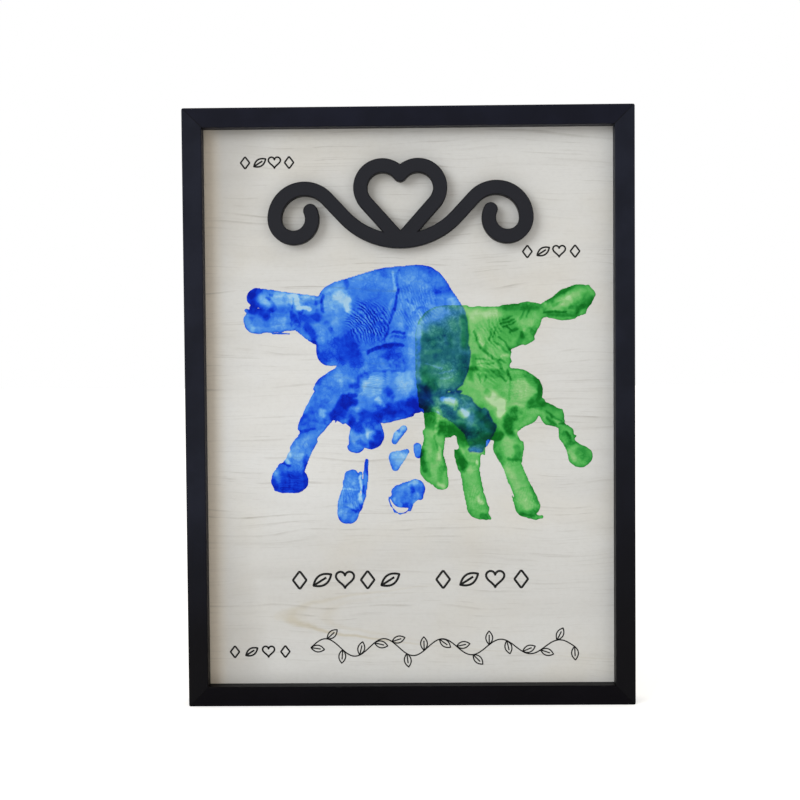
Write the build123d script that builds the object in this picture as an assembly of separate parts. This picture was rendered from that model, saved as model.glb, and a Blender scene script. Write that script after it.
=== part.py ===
from build123d import *
from math import acos, asin, atan2, cos, degrees, radians, sin
import os

# A hanging keepsake sign: a narrow black wooden frame round a whitewashed plywood panel that
# carries two children's handprints in paint and a raised cut-out ornament. It has no glass.
# Millimetres. X runs to the right, Y from front to back and Z up. The origin is the middle of
# the bottom rail's underside.

# Frame outside
frame_width = 228.6
frame_height = 304.8
frame_depth = 19.0
corner_round = 1.2

# Rail section: a square-edged moulding with a rebate behind its inner edge
rail_face = 10.0
recess_depth = 8.0
rebate_width = 3.5
edge_round = 0.6

# Panel
panel_thickness = 4.0
panel_clearance = 0.5

# Raised ornament, a heart between two scrolls cut from one board
ornament_side_margin = 36.8
ornament_top_margin = 15.8
ornament_thickness = 6.0
ornament_edge_chamfer = 0.4
ornament_left_shift = 4.0
stroke_share = 0.0533
lobe_radius_share = 0.083
lobe_centre_shares = (0.067, 0.2)
swash_rise_share = 0.29
swash_rise_degrees = 47.0
swash_run_share = 0.096
crest_radius_share = 0.113
crest_degrees = 137.0
curl_radius_share = 0.0705
curl_degrees = 205.0

# Handprints. A hand is drawn as rows of round pads, and each pad is joined to the next one of its
# row by straight sides. A pad is (to the right, down, radius) from the top of the hand's heel,
# in shares of the hand's length.
print_left_margin = 17.5
print_right_margin = 9.5
print_gap = 7.5
green_drop = 20.0
paint_thickness = 0.2
blue_length_share = 0.7375
green_length_share = 0.6165
blue_reach_share = 0.585
green_spacing_share = 0.284

blue_pad_shares = {
    "palm_heel": [(0.13, 0.241, 0.157), (0.1, 0.125, 0.12), (-0.02, 0.14, 0.125), (-0.195, 0.16, 0.095)],
    "palm_side": [
        (-0.195, 0.16, 0.095), (0.13, 0.241, 0.157), (0.142, 0.349, 0.155), (-0.21, 0.3, 0.085)
    ],
    "palm_edge": [(-0.195, 0.16, 0.095), (-0.21, 0.3, 0.085), (-0.239, 0.336, 0.054)],
    "knuckles": [
        (0.142, 0.349, 0.155), (-0.227, 0.495, 0.081), (-0.15, 0.565, 0.065), (0.075, 0.523, 0.055)
    ],
    "knuckle_edge": [(0.075, 0.523, 0.055), (0.142, 0.349, 0.155)],
    "thumb": [(-0.285, 0.178, 0.055), (-0.39, 0.14, 0.032), (-0.519, 0.127, 0.038)],
    "thumb_side": [(-0.27, 0.237, 0.076), (-0.36, 0.205, 0.045), (-0.522, 0.215, 0.049)],
    "index": [
        (-0.227, 0.495, 0.081), (-0.304, 0.603, 0.059), (-0.322, 0.658, 0.037), (-0.358, 0.713, 0.042)
    ],
    "index_tip": [
        (-0.358, 0.713, 0.042), (-0.386, 0.771, 0.048), (-0.422, 0.826, 0.05), (-0.377, 0.829, 0.048)
    ],
    "middle_root": [(-0.12, 0.585, 0.06), (-0.088, 0.658, 0.052)],
    "middle_root_side": [(-0.116, 0.595, 0.046), (-0.145, 0.69, 0.035)],
    "middle": [
        (-0.162, 0.818, 0.03), (-0.165, 0.872, 0.035), (-0.17, 0.917, 0.046), (-0.177, 0.956, 0.042)
    ],
    "middle_edge": [
        (-0.104, 0.752, 0.007), (-0.107, 0.809, 0.01), (-0.118, 0.891, 0.01), (-0.135, 0.936, 0.011)
    ],
    "ring_root": [(0.038, 0.632, 0.013), (0.017, 0.656, 0.016), (0.004, 0.68, 0.011)],
    "ring_patch": [(0.0, 0.74, 0.02), (0.05, 0.72, 0.01), (0.006, 0.78, 0.015), (0.0, 0.74, 0.02)],
    "ring": [(0.03, 0.89, 0.045), (0.084, 0.861, 0.035), (0.048, 0.912, 0.026)],
    "little_root": [(0.09, 0.7, 0.015), (0.095, 0.73, 0.016)],
    "little": [(0.075, 0.523, 0.055), (0.165, 0.525, 0.04), (0.26, 0.56, 0.06), (0.33, 0.62, 0.065)],
    "little_tip": [(0.33, 0.62, 0.065), (0.325, 0.67, 0.045)],
}
green_pad_shares = {
    "palm_heel": [(-0.105, 0.145, 0.13), (0.138, 0.096, 0.08), (0.09, 0.26, 0.105)],
    "thumb_pad": [(0.138, 0.096, 0.08), (0.24, 0.105, 0.096), (0.133, 0.195, 0.068)],
    "palm": [(0.09, 0.26, 0.105), (-0.105, 0.145, 0.13), (-0.115, 0.34, 0.12)],
    "palm_edge": [(0.133, 0.195, 0.068), (0.09, 0.26, 0.105), (0.155, 0.387, 0.08), (0.24, 0.41, 0.105)],
    "knuckles": [(-0.115, 0.34, 0.12), (0.24, 0.41, 0.105), (0.275, 0.51, 0.05), (0.206, 0.531, 0.06)],
    "knuckle_edge": [(0.24, 0.41, 0.105), (0.02, 0.535, 0.08), (-0.115, 0.34, 0.12), (0.09, 0.26, 0.105)],
    "finger_roots": [
        (0.206, 0.531, 0.06), (0.02, 0.535, 0.08), (-0.07, 0.53, 0.075), (-0.152, 0.5, 0.067)
    ],
    "root_edge": [(-0.152, 0.5, 0.067), (-0.115, 0.34, 0.12)],
    "thumb": [(0.27, 0.07, 0.07), (0.34, 0.033, 0.021), (0.415, 0.022, 0.05)],
    "thumb_tip": [(0.415, 0.022, 0.05), (0.464, 0.009, 0.071), (0.51, -0.007, 0.071)],
    "index_root": [(0.289, 0.467, 0.058), (0.346, 0.487, 0.032)],
    "index_base": [(0.346, 0.487, 0.032), (0.386, 0.515, 0.054)],
    "index_middle": [(0.386, 0.515, 0.054), (0.432, 0.564, 0.015), (0.458, 0.614, 0.039)],
    "index_tip": [(0.458, 0.614, 0.039), (0.477, 0.656, 0.032), (0.515, 0.702, 0.057)],
    "middle": [(0.206, 0.531, 0.06), (0.184, 0.585, 0.045), (0.187, 0.664, 0.071), (0.203, 0.748, 0.042)],
    "middle_tip": [(0.203, 0.748, 0.042), (0.236, 0.838, 0.046), (0.272, 0.929, 0.06)],
    "ring": [(0.02, 0.535, 0.08), (0.009, 0.685, 0.07), (0.007, 0.759, 0.044)],
    "ring_tip": [(0.007, 0.759, 0.044), (0.024, 0.856, 0.046), (0.047, 0.944, 0.05)],
    "little": [
        (-0.152, 0.5, 0.067), (-0.155, 0.565, 0.056), (-0.152, 0.626, 0.047), (-0.166, 0.699, 0.053)
    ],
    "little_tip": [(-0.166, 0.699, 0.053), (-0.157, 0.766, 0.061), (-0.121, 0.83, 0.031)],
}

# V-nails that draw the mitres together, driven in from the back
v_nail_thickness = 0.5
v_nail_arm = 5.0
v_nail_height = 7.0
v_nail_sink = 0.3

# Steel points that hold the panel, driven into the rebate's wall
point_thickness = 0.5
point_width = 7.0
point_reach = 7.0
point_cover = 2.0
point_tip = 2.5
long_side_point_shares = (-0.36, 0.0, 0.36)
short_side_point_shares = (-0.25, 0.25)

# Sawtooth hanger and its two nails
hanger_length = 45.0
hanger_height = 8.6
hanger_strip = 0.8
hanger_raise = 1.1
hanger_ear = 6.5
hanger_ramp = 2.0
hanger_top_margin = 0.6
hanger_corner_round = 1.4
tooth_pitch = 3.9
tooth_depth = 1.9
tooth_count = 7
nail_diameter = 1.3
nail_length = 9.0
nail_head_diameter = 2.9
nail_head_height = 0.7
nail_point = 1.6
nail_clearance = 0.05

# Round rubber bumpers at the lower corners of the back
bumper_margin = 0.3
bumper_height = 2.0
bumper_inset = 13.0

cut_overrun = 5.0

front_y = -frame_depth / 2
back_y = frame_depth / 2
panel_face_y = front_y + recess_depth
panel_back_y = panel_face_y + panel_thickness
back_land = rail_face - rebate_width
sight_width = frame_width - 2 * rail_face
sight_top = frame_height - rail_face

# Each side's moulding is drawn lying on its outer edge and turned to its place.
side_places = {
    "bottom": Location((0, 0, 0), (0, 0, 0)),
    "top": Location((0, 0, frame_height), (0, 180, 0)),
    "left": Location((-frame_width / 2, 0, frame_height / 2), (0, 90, 0)),
    "right": Location((frame_width / 2, 0, frame_height / 2), (0, -90, 0)),
}
side_lengths = {"bottom": frame_width, "top": frame_width, "left": frame_height, "right": frame_height}


def facing(y):
    """Plane at depth y that is drawn on from the front, X right and Z up; it extrudes forward."""
    return Plane(origin=(0, y, 0), x_dir=(1, 0, 0), z_dir=(0, -1, 0))


def rail_section():
    """Moulding section in depth and height, outer edge down, with its show edges eased."""
    corners = Polygon(
        (front_y, 0),
        (back_y, 0),
        (back_y, back_land),
        (panel_face_y, back_land),
        (panel_face_y, rail_face),
        (front_y, rail_face),
        align=None,
    )
    eased = [v for v in corners.vertices() if v.X < panel_face_y - edge_round or v.Y < edge_round]
    return Plane.YZ * fillet(eased, edge_round)


def plain_rail(side):
    """One mitred rail in its place, with the frame's slightly rounded corners."""
    half = side_lengths[side] / 2
    bar = extrude(rail_section(), half, both=True)
    mitre = Polygon(
        (-half - cut_overrun, -cut_overrun),
        (half + cut_overrun, -cut_overrun),
        (half - rail_face - cut_overrun, rail_face + cut_overrun),
        (-half + rail_face + cut_overrun, rail_face + cut_overrun),
        align=None,
    )
    bar = bar & extrude(facing(0) * mitre, frame_depth, both=True)
    outline = Location((0, frame_height / 2)) * RectangleRounded(frame_width, frame_height, corner_round)
    return side_places[side] * bar & extrude(facing(0) * outline, frame_depth, both=True)


def v_nail(sink):
    """V-nail of the lower left corner: one arm in each rail, its bend on the mitre."""
    inner = back_land / 2 + v_nail_thickness / 2
    outer = back_land / 2 - v_nail_thickness / 2
    end = back_land / 2 + v_nail_arm
    section = Polygon(
        (outer, outer), (end, outer), (end, inner), (inner, inner), (inner, end), (outer, end), align=None
    )
    section = Location((-frame_width / 2, 0)) * section
    front = back_y - v_nail_sink - v_nail_height
    return extrude(facing(back_y - sink) * section, back_y - sink - front)


def at_corners(lower_left):
    """The given solid at all four corners."""
    lower = [lower_left, mirror(lower_left, Plane.YZ)]
    upper = [mirror(solid, Plane.XY.offset(frame_height / 2)) for solid in lower]
    return lower + upper


def point():
    """One steel point on the bottom rail, its tip in the wood and its tail over the panel."""
    tip = point_cover
    tail = back_land + point_reach
    outline = Polygon(
        (0, tip),
        (point_width / 2, tip + point_tip),
        (point_width / 2, tail),
        (-point_width / 2, tail),
        (-point_width / 2, tip + point_tip),
        align=None,
    )
    tails = outline.vertices().sort_by(Axis.Y)[-2:]
    return extrude(facing(panel_back_y + point_thickness) * fillet(tails, point_tip / 2), point_thickness)


def side_points(side):
    """The points along one side."""
    shares = long_side_point_shares if side in ("left", "right") else short_side_point_shares
    return [side_places[side] * Pos(share * side_lengths[side], 0, 0) * point() for share in shares]


def hanger():
    """Sawtooth hanger: a strip with flat ears, a raised middle and a toothed lower edge."""
    half = hanger_length / 2
    foot = half - hanger_ear
    knee = foot - hanger_ramp
    under = [(-half, 0), (-foot, 0), (-knee, hanger_raise), (knee, hanger_raise), (foot, 0), (half, 0)]
    over = [(x, y + hanger_strip) for x, y in reversed(under)]
    strip = extrude(Polygon(*under, *over, align=None), hanger_height)
    corners = [e for e in strip.edges().filter_by(Axis.Y) if abs(e.center().X) > foot]
    strip = fillet(corners, hanger_corner_round)
    for index in range(tooth_count):
        x = (index - (tooth_count - 1) / 2) * tooth_pitch
        gullet = Polygon(
            (x - tooth_pitch / 2, 0), (x + tooth_pitch / 2, 0), (x, tooth_depth), align=None
        )
        strip -= extrude(facing(0) * gullet, hanger_length, both=True)
    strip = Pos(0, back_y, hanger_bottom) * strip
    for x in hanger_nail_places:
        strip -= nail_bore(x, nail_diameter / 2 + nail_clearance)
    return strip


hanger_bottom = frame_height - hanger_top_margin - hanger_height
hanger_nail_z = frame_height - back_land / 2
hanger_nail_places = (-hanger_length / 2 + hanger_ear / 2, hanger_length / 2 - hanger_ear / 2)


def nail_bore(x, radius):
    """Cylinder that clears a hanger nail through the ear and into the rail."""
    length = nail_length + nail_clearance + hanger_strip
    return Pos(x, back_y + hanger_strip, hanger_nail_z) * Rot(90, 0, 0) * Cylinder(
        radius, length, align=(Align.CENTER, Align.CENTER, Align.MIN)
    )


def dome(radius, base, height):
    """Arc of a round cap, from its rim at the given base up to its top on the axis."""
    sphere = (radius**2 + height**2) / (2 * height)
    rim = degrees(asin((sphere - height) / sphere))
    return CenterArc((0, base + height - sphere), sphere, rim, 90 - rim)


def hanger_nail(x):
    """Round-headed steel nail, turned about its own axis."""
    radius = nail_diameter / 2
    head = nail_head_diameter / 2
    rim = nail_head_height / 3
    point = (radius, nail_point - nail_length)
    shank = Polyline((0, nail_head_height), (0, -nail_length), point, (radius, 0), (head, 0), (head, rim))
    nail = revolve(make_face(shank.edges() + [dome(head, rim, nail_head_height - rim)]), Axis.Y)
    return Pos(x, back_y + hanger_strip, hanger_nail_z) * nail


def bumper(x):
    """Domed rubber bumper stuck to the back of the bottom rail."""
    radius = back_land / 2 - bumper_margin
    skirt = bumper_height / 4
    base = Polyline((0, bumper_height), (0, 0), (radius, 0), (radius, skirt))
    turned = revolve(make_face(base.edges() + [dome(radius, skirt, bumper_height - skirt)]), Axis.Y)
    return Pos(x, back_y, back_land / 2) * turned


def panel():
    """Plywood panel that sits in the rebate with a small clearance all round."""
    width = frame_width - 2 * (back_land + panel_clearance)
    height = frame_height - 2 * (back_land + panel_clearance)
    sheet = Location((0, frame_height / 2)) * Rectangle(width, height)
    return extrude(facing(panel_back_y) * sheet, panel_thickness)


def polar(radius, degrees):
    """Point at a distance and bearing from the origin."""
    return radius * cos(radians(degrees)), radius * sin(radians(degrees))


def heart_half(size):
    """Centre line of the heart's right half: a straight side from its point, then the lobe."""
    lobe = lobe_radius_share * size
    centre = Vector(lobe_centre_shares[0] * size, lobe_centre_shares[1] * size)
    side = (centre.length**2 - lobe**2) ** 0.5
    bearing = degrees(atan2(centre.Y, centre.X) - atan2(lobe, side))
    cleft = degrees(acos(-centre.X / lobe))
    return [
        Line((0, 0), polar(side, bearing)),
        CenterArc(centre, lobe, bearing - 90, cleft + 90 - bearing),
    ]


def swash_half(size):
    """Centre line of the right scroll: it rises from the heart's point, crests and curls in."""
    stroke = [JernArc((0, 0), (1, 0), swash_rise_share * size, swash_rise_degrees)]
    ahead = polar(swash_run_share * size, swash_rise_degrees)
    stroke.append(Line(stroke[-1] @ 1, stroke[-1] @ 1 + Vector(*ahead)))
    for radius_share, turn in ((crest_radius_share, crest_degrees), (curl_radius_share, curl_degrees)):
        stroke.append(JernArc(stroke[-1] @ 1, stroke[-1] % 1, radius_share * size, -turn))
    return stroke


def round_stroke(edges, width):
    """Band of even width along a row of edges, with a round disc at each joint and end."""
    bands = [trace(edge, width) for edge in edges]
    discs = [Location(edge @ end) * Circle(width / 2) for edge in edges for end in (0, 1)]
    return Sketch() + bands + discs


def raised_ornament():
    """Heart whose point runs out into a scroll on each side, cut from one board."""
    size = sight_width - 2 * ornament_side_margin
    half = round_stroke(heart_half(size) + swash_half(size), stroke_share * size)
    outline = half + mirror(half, Plane.YZ)
    top = outline.bounding_box().max.Y
    place = Location((-ornament_left_shift, sight_top - ornament_top_margin - top))
    board = extrude(facing(panel_face_y) * place * outline, ornament_thickness)
    front = board.faces().sort_by(Axis.Y)[0]
    return chamfer(front.edges(), ornament_edge_chamfer)


def web(first, second):
    """Straight-sided piece between two round pads, its sides tangent to both."""
    apart = Vector(second[0] - first[0], second[1] - first[1])
    along = degrees(atan2(apart.Y, apart.X))
    lean = degrees(acos((first[2] - second[2]) / apart.length))
    corners = []
    for (x, z, radius), side in ((first, lean), (second, lean), (second, -lean), (first, -lean)):
        across, up = polar(radius, along + side)
        corners.append((x + across, z + up))
    return make_face(Polyline(*corners, close=True))


def print_shape(heel, length, rows):
    """Outline of a handprint from its rows of pads."""
    faces = []
    for shares in rows.values():
        pads = [(heel[0] + x * length, heel[1] - z * length, radius * length) for x, z, radius in shares]
        faces += [Location((x, z)) * Circle(radius) for x, z, radius in pads]
        faces += [web(first, second) for first, second in zip(pads, pads[1:])]
    return Sketch() + faces


def handprints(top):
    """The two paint films: blue on the panel, and green beside it and over it."""
    span = sight_width - print_left_margin - print_right_margin
    blue_length = span * blue_length_share
    green_length = span * green_length_share
    blue_heel = (print_left_margin - sight_width / 2 + blue_reach_share * blue_length, top)
    green_heel = (blue_heel[0] + green_spacing_share * blue_length, top - green_drop)
    blue_shape = print_shape(blue_heel, blue_length, blue_pad_shares)
    green_shape = print_shape(green_heel, green_length, green_pad_shares)
    blue = extrude(facing(panel_face_y) * blue_shape, paint_thickness)
    green = extrude(facing(panel_face_y) * green_shape, 2 * paint_thickness) - blue
    return blue, green


def main():
    """Write one file for each piece."""
    corner_nails = at_corners(v_nail(v_nail_sink))
    nail_kerfs = at_corners(v_nail(0))
    hanger_bores = [nail_bore(x, nail_diameter / 2 + nail_clearance) for x in hanger_nail_places]
    points = {side: side_points(side) for side in side_places}
    pieces = {}
    for side in side_places:
        rail = plain_rail(side)
        for solid in nail_kerfs + points[side]:
            rail -= solid
        if side == "top":
            for bore in hanger_bores:
                rail -= bore
        pieces[side + "_rail"] = rail
    pieces["corner_v_nails"] = Compound(corner_nails)
    pieces["panel"] = panel()
    pieces["panel_points"] = Compound([solid for solids in points.values() for solid in solids])
    ornament = raised_ornament()
    heel_top = ornament.bounding_box().min.Z - print_gap
    pieces["raised_ornament"] = ornament
    pieces["blue_handprint"], pieces["green_handprint"] = handprints(heel_top)
    pieces["sawtooth_hanger"] = hanger()
    pieces["hanger_nails"] = Compound([hanger_nail(x) for x in hanger_nail_places])
    bumper_x = frame_width / 2 - bumper_inset
    pieces["left_bumper"] = bumper(-bumper_x)
    pieces["right_bumper"] = bumper(bumper_x)
    os.makedirs("parts", exist_ok=True)
    for name, piece in pieces.items():
        export_step(piece, "parts/" + name + ".step")


main()
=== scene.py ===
import math

import bpy
import numpy as np
from mathutils import Euler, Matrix, Vector, kdtree, noise


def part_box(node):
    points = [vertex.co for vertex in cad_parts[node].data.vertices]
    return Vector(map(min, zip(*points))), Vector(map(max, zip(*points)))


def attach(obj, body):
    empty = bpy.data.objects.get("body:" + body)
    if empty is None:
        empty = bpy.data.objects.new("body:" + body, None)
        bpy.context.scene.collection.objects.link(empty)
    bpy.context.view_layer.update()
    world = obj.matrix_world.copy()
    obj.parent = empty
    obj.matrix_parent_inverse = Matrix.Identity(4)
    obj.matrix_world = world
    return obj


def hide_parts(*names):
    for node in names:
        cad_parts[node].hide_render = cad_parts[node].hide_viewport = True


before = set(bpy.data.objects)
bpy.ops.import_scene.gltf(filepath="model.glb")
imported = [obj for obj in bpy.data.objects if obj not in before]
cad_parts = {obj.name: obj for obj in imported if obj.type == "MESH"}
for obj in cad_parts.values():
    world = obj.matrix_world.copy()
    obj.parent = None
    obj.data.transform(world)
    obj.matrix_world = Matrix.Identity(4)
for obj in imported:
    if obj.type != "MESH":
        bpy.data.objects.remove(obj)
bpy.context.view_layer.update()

mm = 0.001


# Frame rails. Four lengths of narrow square wooden moulding, mitred and glued at the corners, then
# sprayed satin black. The spray lies thin over the grain, is a little rubbed at the eased edges and
# shows a hair line where two mitres meet.
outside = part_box("top_rail")[1]
mitre_hair = 0.12 * mm
# Painted light in the blacks: the top and side rails are bluer and lighter as painted reflection, the
# bottom rail darker as painted shade, and the side rails darken towards their low ends as painted shade.
top_black_painted_reflection = (0.0048, 0.0054, 0.0115, 1)
side_black_painted_reflection = (0.0082, 0.0094, 0.0161, 1)
bottom_black_painted_shade = (0.0016, 0.0013, 0.0022, 1)
mitre_black = (0.001, 0.001, 0.001, 1)
rail_rubbed = (0.02, 0.019, 0.02, 1)
thin_spray = 1.5
rub_strength = 0.8
painted_shade_foot = 20 * mm
grain_along_x = (40, 1, 1)
grain_along_z = (1, 1, 40)


def add_node(tree, kind, inputs=None, **settings):
    """One node with its settings; its inputs are plain values, or sockets to link from."""
    node = tree.nodes.new(kind)
    for name, value in settings.items():
        setattr(node, name, value)
    for name, value in (inputs or {}).items():
        if isinstance(value, bpy.types.NodeSocket):
            tree.links.new(value, node.inputs[name])
        else:
            node.inputs[name].default_value = value
    return node


def calc(tree, operation, first, second=0.0, third=0.0):
    """Result of a math node."""
    node = add_node(tree, "ShaderNodeMath", {0: first, 1: second, 2: third}, operation=operation)
    return node.outputs[0]


def spread(tree, value, low, high, to_low=0.0, to_high=1.0):
    """A value eased from one range into another and held at its ends."""
    node = add_node(
        tree,
        "ShaderNodeMapRange",
        {"Value": value, "From Min": low, "From Max": high, "To Min": to_low, "To Max": to_high},
        interpolation_type="SMOOTHSTEP",
    )
    return node.outputs["Result"]


def blend_colours(tree, factor, first, second, kind="MIX"):
    """Mix of two colours."""
    inputs = {0: factor, 6: first, 7: second}
    return add_node(tree, "ShaderNodeMix", inputs, data_type="RGBA", blend_type=kind).outputs[2]


def noise_at(tree, coords, size, detail=3.0, roughness=0.5, stretch=(1, 1, 1)):
    """Noise in lumps of about a size in metres, broken up by finer detail, stretched along the axes."""
    shrink = tuple(1 / share for share in stretch)
    scaled = add_node(tree, "ShaderNodeMapping", {"Vector": coords, "Scale": shrink})
    node = add_node(
        tree,
        "ShaderNodeTexNoise",
        {"Vector": scaled.outputs[0], "Scale": 1 / size, "Detail": detail, "Roughness": roughness},
    )
    return node.outputs["Fac"]


def axes(tree, vector):
    """The x, y and z of a vector."""
    return add_node(tree, "ShaderNodeSeparateXYZ", {0: vector}).outputs


def facing(tree):
    """The x, y and z of the direction that the surface faces."""
    return axes(tree, tree.nodes.new("ShaderNodeTexCoord").outputs["Normal"])


def new_material(name, **constants):
    """Material with a Principled shader whose constant sockets are set, and its Object coordinates."""
    material = bpy.data.materials.new(name)
    material.use_nodes = True
    tree = material.node_tree
    shader = tree.nodes["Principled BSDF"]
    for socket, value in constants.items():
        shader.inputs[socket.replace("_", " ")].default_value = value
    return material, tree, shader, tree.nodes.new("ShaderNodeTexCoord").outputs["Object"]


def surface(tree, shader, colour, rough, height, depth, strength):
    """Give the shader its colour, its roughness and a relief of the given depth."""
    relief = add_node(tree, "ShaderNodeBump", {"Height": height, "Distance": depth, "Strength": strength})
    for socket, value in (("Base Color", colour), ("Roughness", rough), ("Normal", relief.outputs[0])):
        tree.links.new(value, shader.inputs[socket])


def shaded(colour, share):
    """A colour made lighter or darker."""
    return tuple(share * part for part in colour[:3]) + (1,)


def eased_edge(tree):
    """1 where the surface faces half way between two axes, as on a rounded edge."""
    x, y, z = (calc(tree, "ABSOLUTE", part) for part in facing(tree))
    return spread(tree, calc(tree, "MULTIPLY", y, calc(tree, "MAXIMUM", x, z)), 0.12, 0.42)


def rail_paint(name, black, gloss, grain, painted_shade_below=None):
    """Satin black spray over wood grain; towards a low end its black turns to the bottom rail's painted
    shade.
    """
    material, tree, shader, coords = new_material(name, Specular_IOR_Level=gloss)
    streaks = noise_at(tree, coords, 0.9 * mm, detail=4, roughness=0.6, stretch=grain)
    cloud = noise_at(tree, coords, 26 * mm, roughness=0.55)
    speck = noise_at(tree, coords, 0.35 * mm, detail=2, roughness=0.6)
    rub = noise_at(tree, coords, 5 * mm, detail=5, roughness=0.7)
    wear_and_painted_shadow = calc(tree, "MULTIPLY", eased_edge(tree), spread(tree, rub, 0.5, 0.72))
    shade = blend_colours(tree, spread(tree, cloud, 0.35, 0.7), black, shaded(black, thin_spray))
    colour = blend_colours(tree, calc(tree, "MULTIPLY", wear_and_painted_shadow, rub_strength), shade, rail_rubbed)
    place = axes(tree, coords)
    from_side = calc(tree, "SUBTRACT", outside.x, calc(tree, "ABSOLUTE", place[0]))
    from_end = calc(tree, "MINIMUM", place[2], calc(tree, "SUBTRACT", outside.z, place[2]))
    off_mitre = calc(tree, "ABSOLUTE", calc(tree, "SUBTRACT", from_side, from_end))
    open_mitre = spread(tree, off_mitre, mitre_hair, 2.2 * mitre_hair)
    colour = blend_colours(tree, open_mitre, mitre_black, colour)
    # Painted shade: the side rails darken towards their low ends.
    if painted_shade_below:
        colour = blend_colours(tree, spread(tree, place[2], painted_shade_foot, painted_shade_below), bottom_black_painted_shade, colour)
    rough = calc(tree, "ADD", 0.38, calc(tree, "MULTIPLY", cloud, 0.12))
    rough = calc(tree, "ADD", rough, calc(tree, "MULTIPLY", wear_and_painted_shadow, 0.2))
    relief = calc(tree, "MULTIPLY_ADD", speck, 0.25, calc(tree, "MULTIPLY", streaks, 0.75))
    relief = calc(tree, "MULTIPLY", relief, open_mitre)
    surface(tree, shader, colour, rough, relief, depth=0.06 * mm, strength=0.55)
    return material


def dress(node, material):
    """Give a CAD piece its finish."""
    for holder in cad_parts[node].material_slots:
        holder.material = material


# The top and side rails' blacks carry painted reflection, the bottom rail's black painted shade.
dress("top_rail", rail_paint("black_top_rail", top_black_painted_reflection, 0.08, grain_along_x))
dress("bottom_rail", rail_paint("black_bottom_rail", bottom_black_painted_shade, 0.04, grain_along_x))
dress("left_rail", rail_paint("black_left_rail", side_black_painted_reflection, 0.07, grain_along_z, painted_shade_below=130 * mm))
dress("right_rail", rail_paint("black_right_rail", side_black_painted_reflection, 0.07, grain_along_z, painted_shade_below=225 * mm))


# Steel fixings. The V-nails across the mitres and the points that hold the panel are bright spring
# steel; the sawtooth hanger and its nails are zinc plated, pressed from strip and a little dull.
spring_steel = (0.55, 0.55, 0.56, 1)
zinc = (0.58, 0.59, 0.62, 1)
dull_plating = 0.62


def steel(name, colour, roughness, grain_size):
    """Metal with drawn streaks along X and a mottled plating."""
    material, tree, shader, coords = new_material(name, Metallic=1.0)
    drawn = noise_at(tree, coords, grain_size, detail=4, roughness=0.6, stretch=(14, 1, 1))
    plating = noise_at(tree, coords, 1.6 * mm, detail=4, roughness=0.65)
    tone = blend_colours(tree, spread(tree, plating, 0.4, 0.68), colour, shaded(colour, dull_plating))
    rough = calc(tree, "MULTIPLY_ADD", drawn, 0.25, roughness)
    surface(tree, shader, tone, rough, drawn, depth=0.02 * mm, strength=0.5)
    return material


bright_steel = steel("bright_spring_steel", spring_steel, roughness=0.22, grain_size=0.25 * mm)
zinc_plate = steel("zinc_plated_steel", zinc, roughness=0.3, grain_size=0.4 * mm)
dress("corner_v_nails", bright_steel)
dress("panel_points", bright_steel)
dress("sawtooth_hanger", zinc_plate)
dress("hanger_nails", zinc_plate)


# Panel. A sheet of birch plywood, whitewashed on the front so that its long level grain still shows
# as broken grey lines, with one pointed warm figure low on the left. The back is left bare.
panel_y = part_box("panel")[0].y
wash_cool = (0.666, 0.666, 0.659, 1)
wash_warm = (0.652, 0.638, 0.606, 1)
grain_grey = (0.3, 0.275, 0.245, 1)
figure_beige = (0.52, 0.47, 0.36, 1)
bare_birch = (0.58, 0.42, 0.25, 1)
bare_birch_dark = (0.42, 0.28, 0.15, 1)
figure_tip = (-64 * mm, 45 * mm)
figure_reach = 25 * mm
figure_rise = 9 * mm
figure_strength = 0.68
wash_edge = 0.2 * mm

# The veneer's growth lines: pitch, wander and length in millimetres, and how dark they are.
# Each line has a number, from which its two random draws and its place in the noise come.
growth_rings = [(0.9, 14, 9, 0.2), (2.1, 18, 16, 0.38), (4.4, 26, 30, 0.52)]
second_draw = 0.37
lines_apart = 7.31
pore_darkness = 0.07
mottle_darkness = 0.05
band_darkness = 0.09

# Where the panel is painted lighter as painted light, and darker as painted shade in the corners and
# along the lower end: middle x, z and reach x, z in millimetres, amount. Along the left rail that
# rail's shadow is painted in as a warmer tone, which fades out over a short reach.
painted_light_wash = (0.77, 0.778, 0.79, 1)
painted_light_zones = [(-60, 146, 52, 68, 0.5)]
painted_shade_zones = [(-108, 306, 42, 110, 0.4), (-108, 25, 42, 95, 0.38), (0, 56, 170, 42, 0.13)]
painted_shadow_warm = (0.73, 0.65, 0.54, 1)
painted_shadow_strength = 0.85
painted_shadow_reach = (-104 * mm, -93 * mm)


def begin_group(kind, name, given, made):
    """Node group with named inputs and a named output, and its inputs as sockets to link from."""
    group = bpy.data.node_groups.new(name, kind + "NodeTree")
    for label, socket in given.items():
        group.interface.new_socket(label, in_out="INPUT", socket_type="NodeSocket" + socket)
    for label, socket in made.items():
        group.interface.new_socket(label, in_out="OUTPUT", socket_type="NodeSocket" + socket)
    return group, group.nodes.new("NodeGroupInput").outputs


def end_group(group, result):
    """Lead a result out of its group."""
    group.links.new(result, group.nodes.new("NodeGroupOutput").inputs[0])
    return group


def placed(tree, group, inputs):
    """Result of a shader node group placed in a tree."""
    return add_node(tree, "ShaderNodeGroup", inputs, node_tree=group).outputs[0]


def vector(tree, x=0.0, y=0.0, z=0.0):
    """A vector from its x, y and z."""
    return add_node(tree, "ShaderNodeCombineXYZ", {0: x, 1: y, 2: z}).outputs[0]


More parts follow.
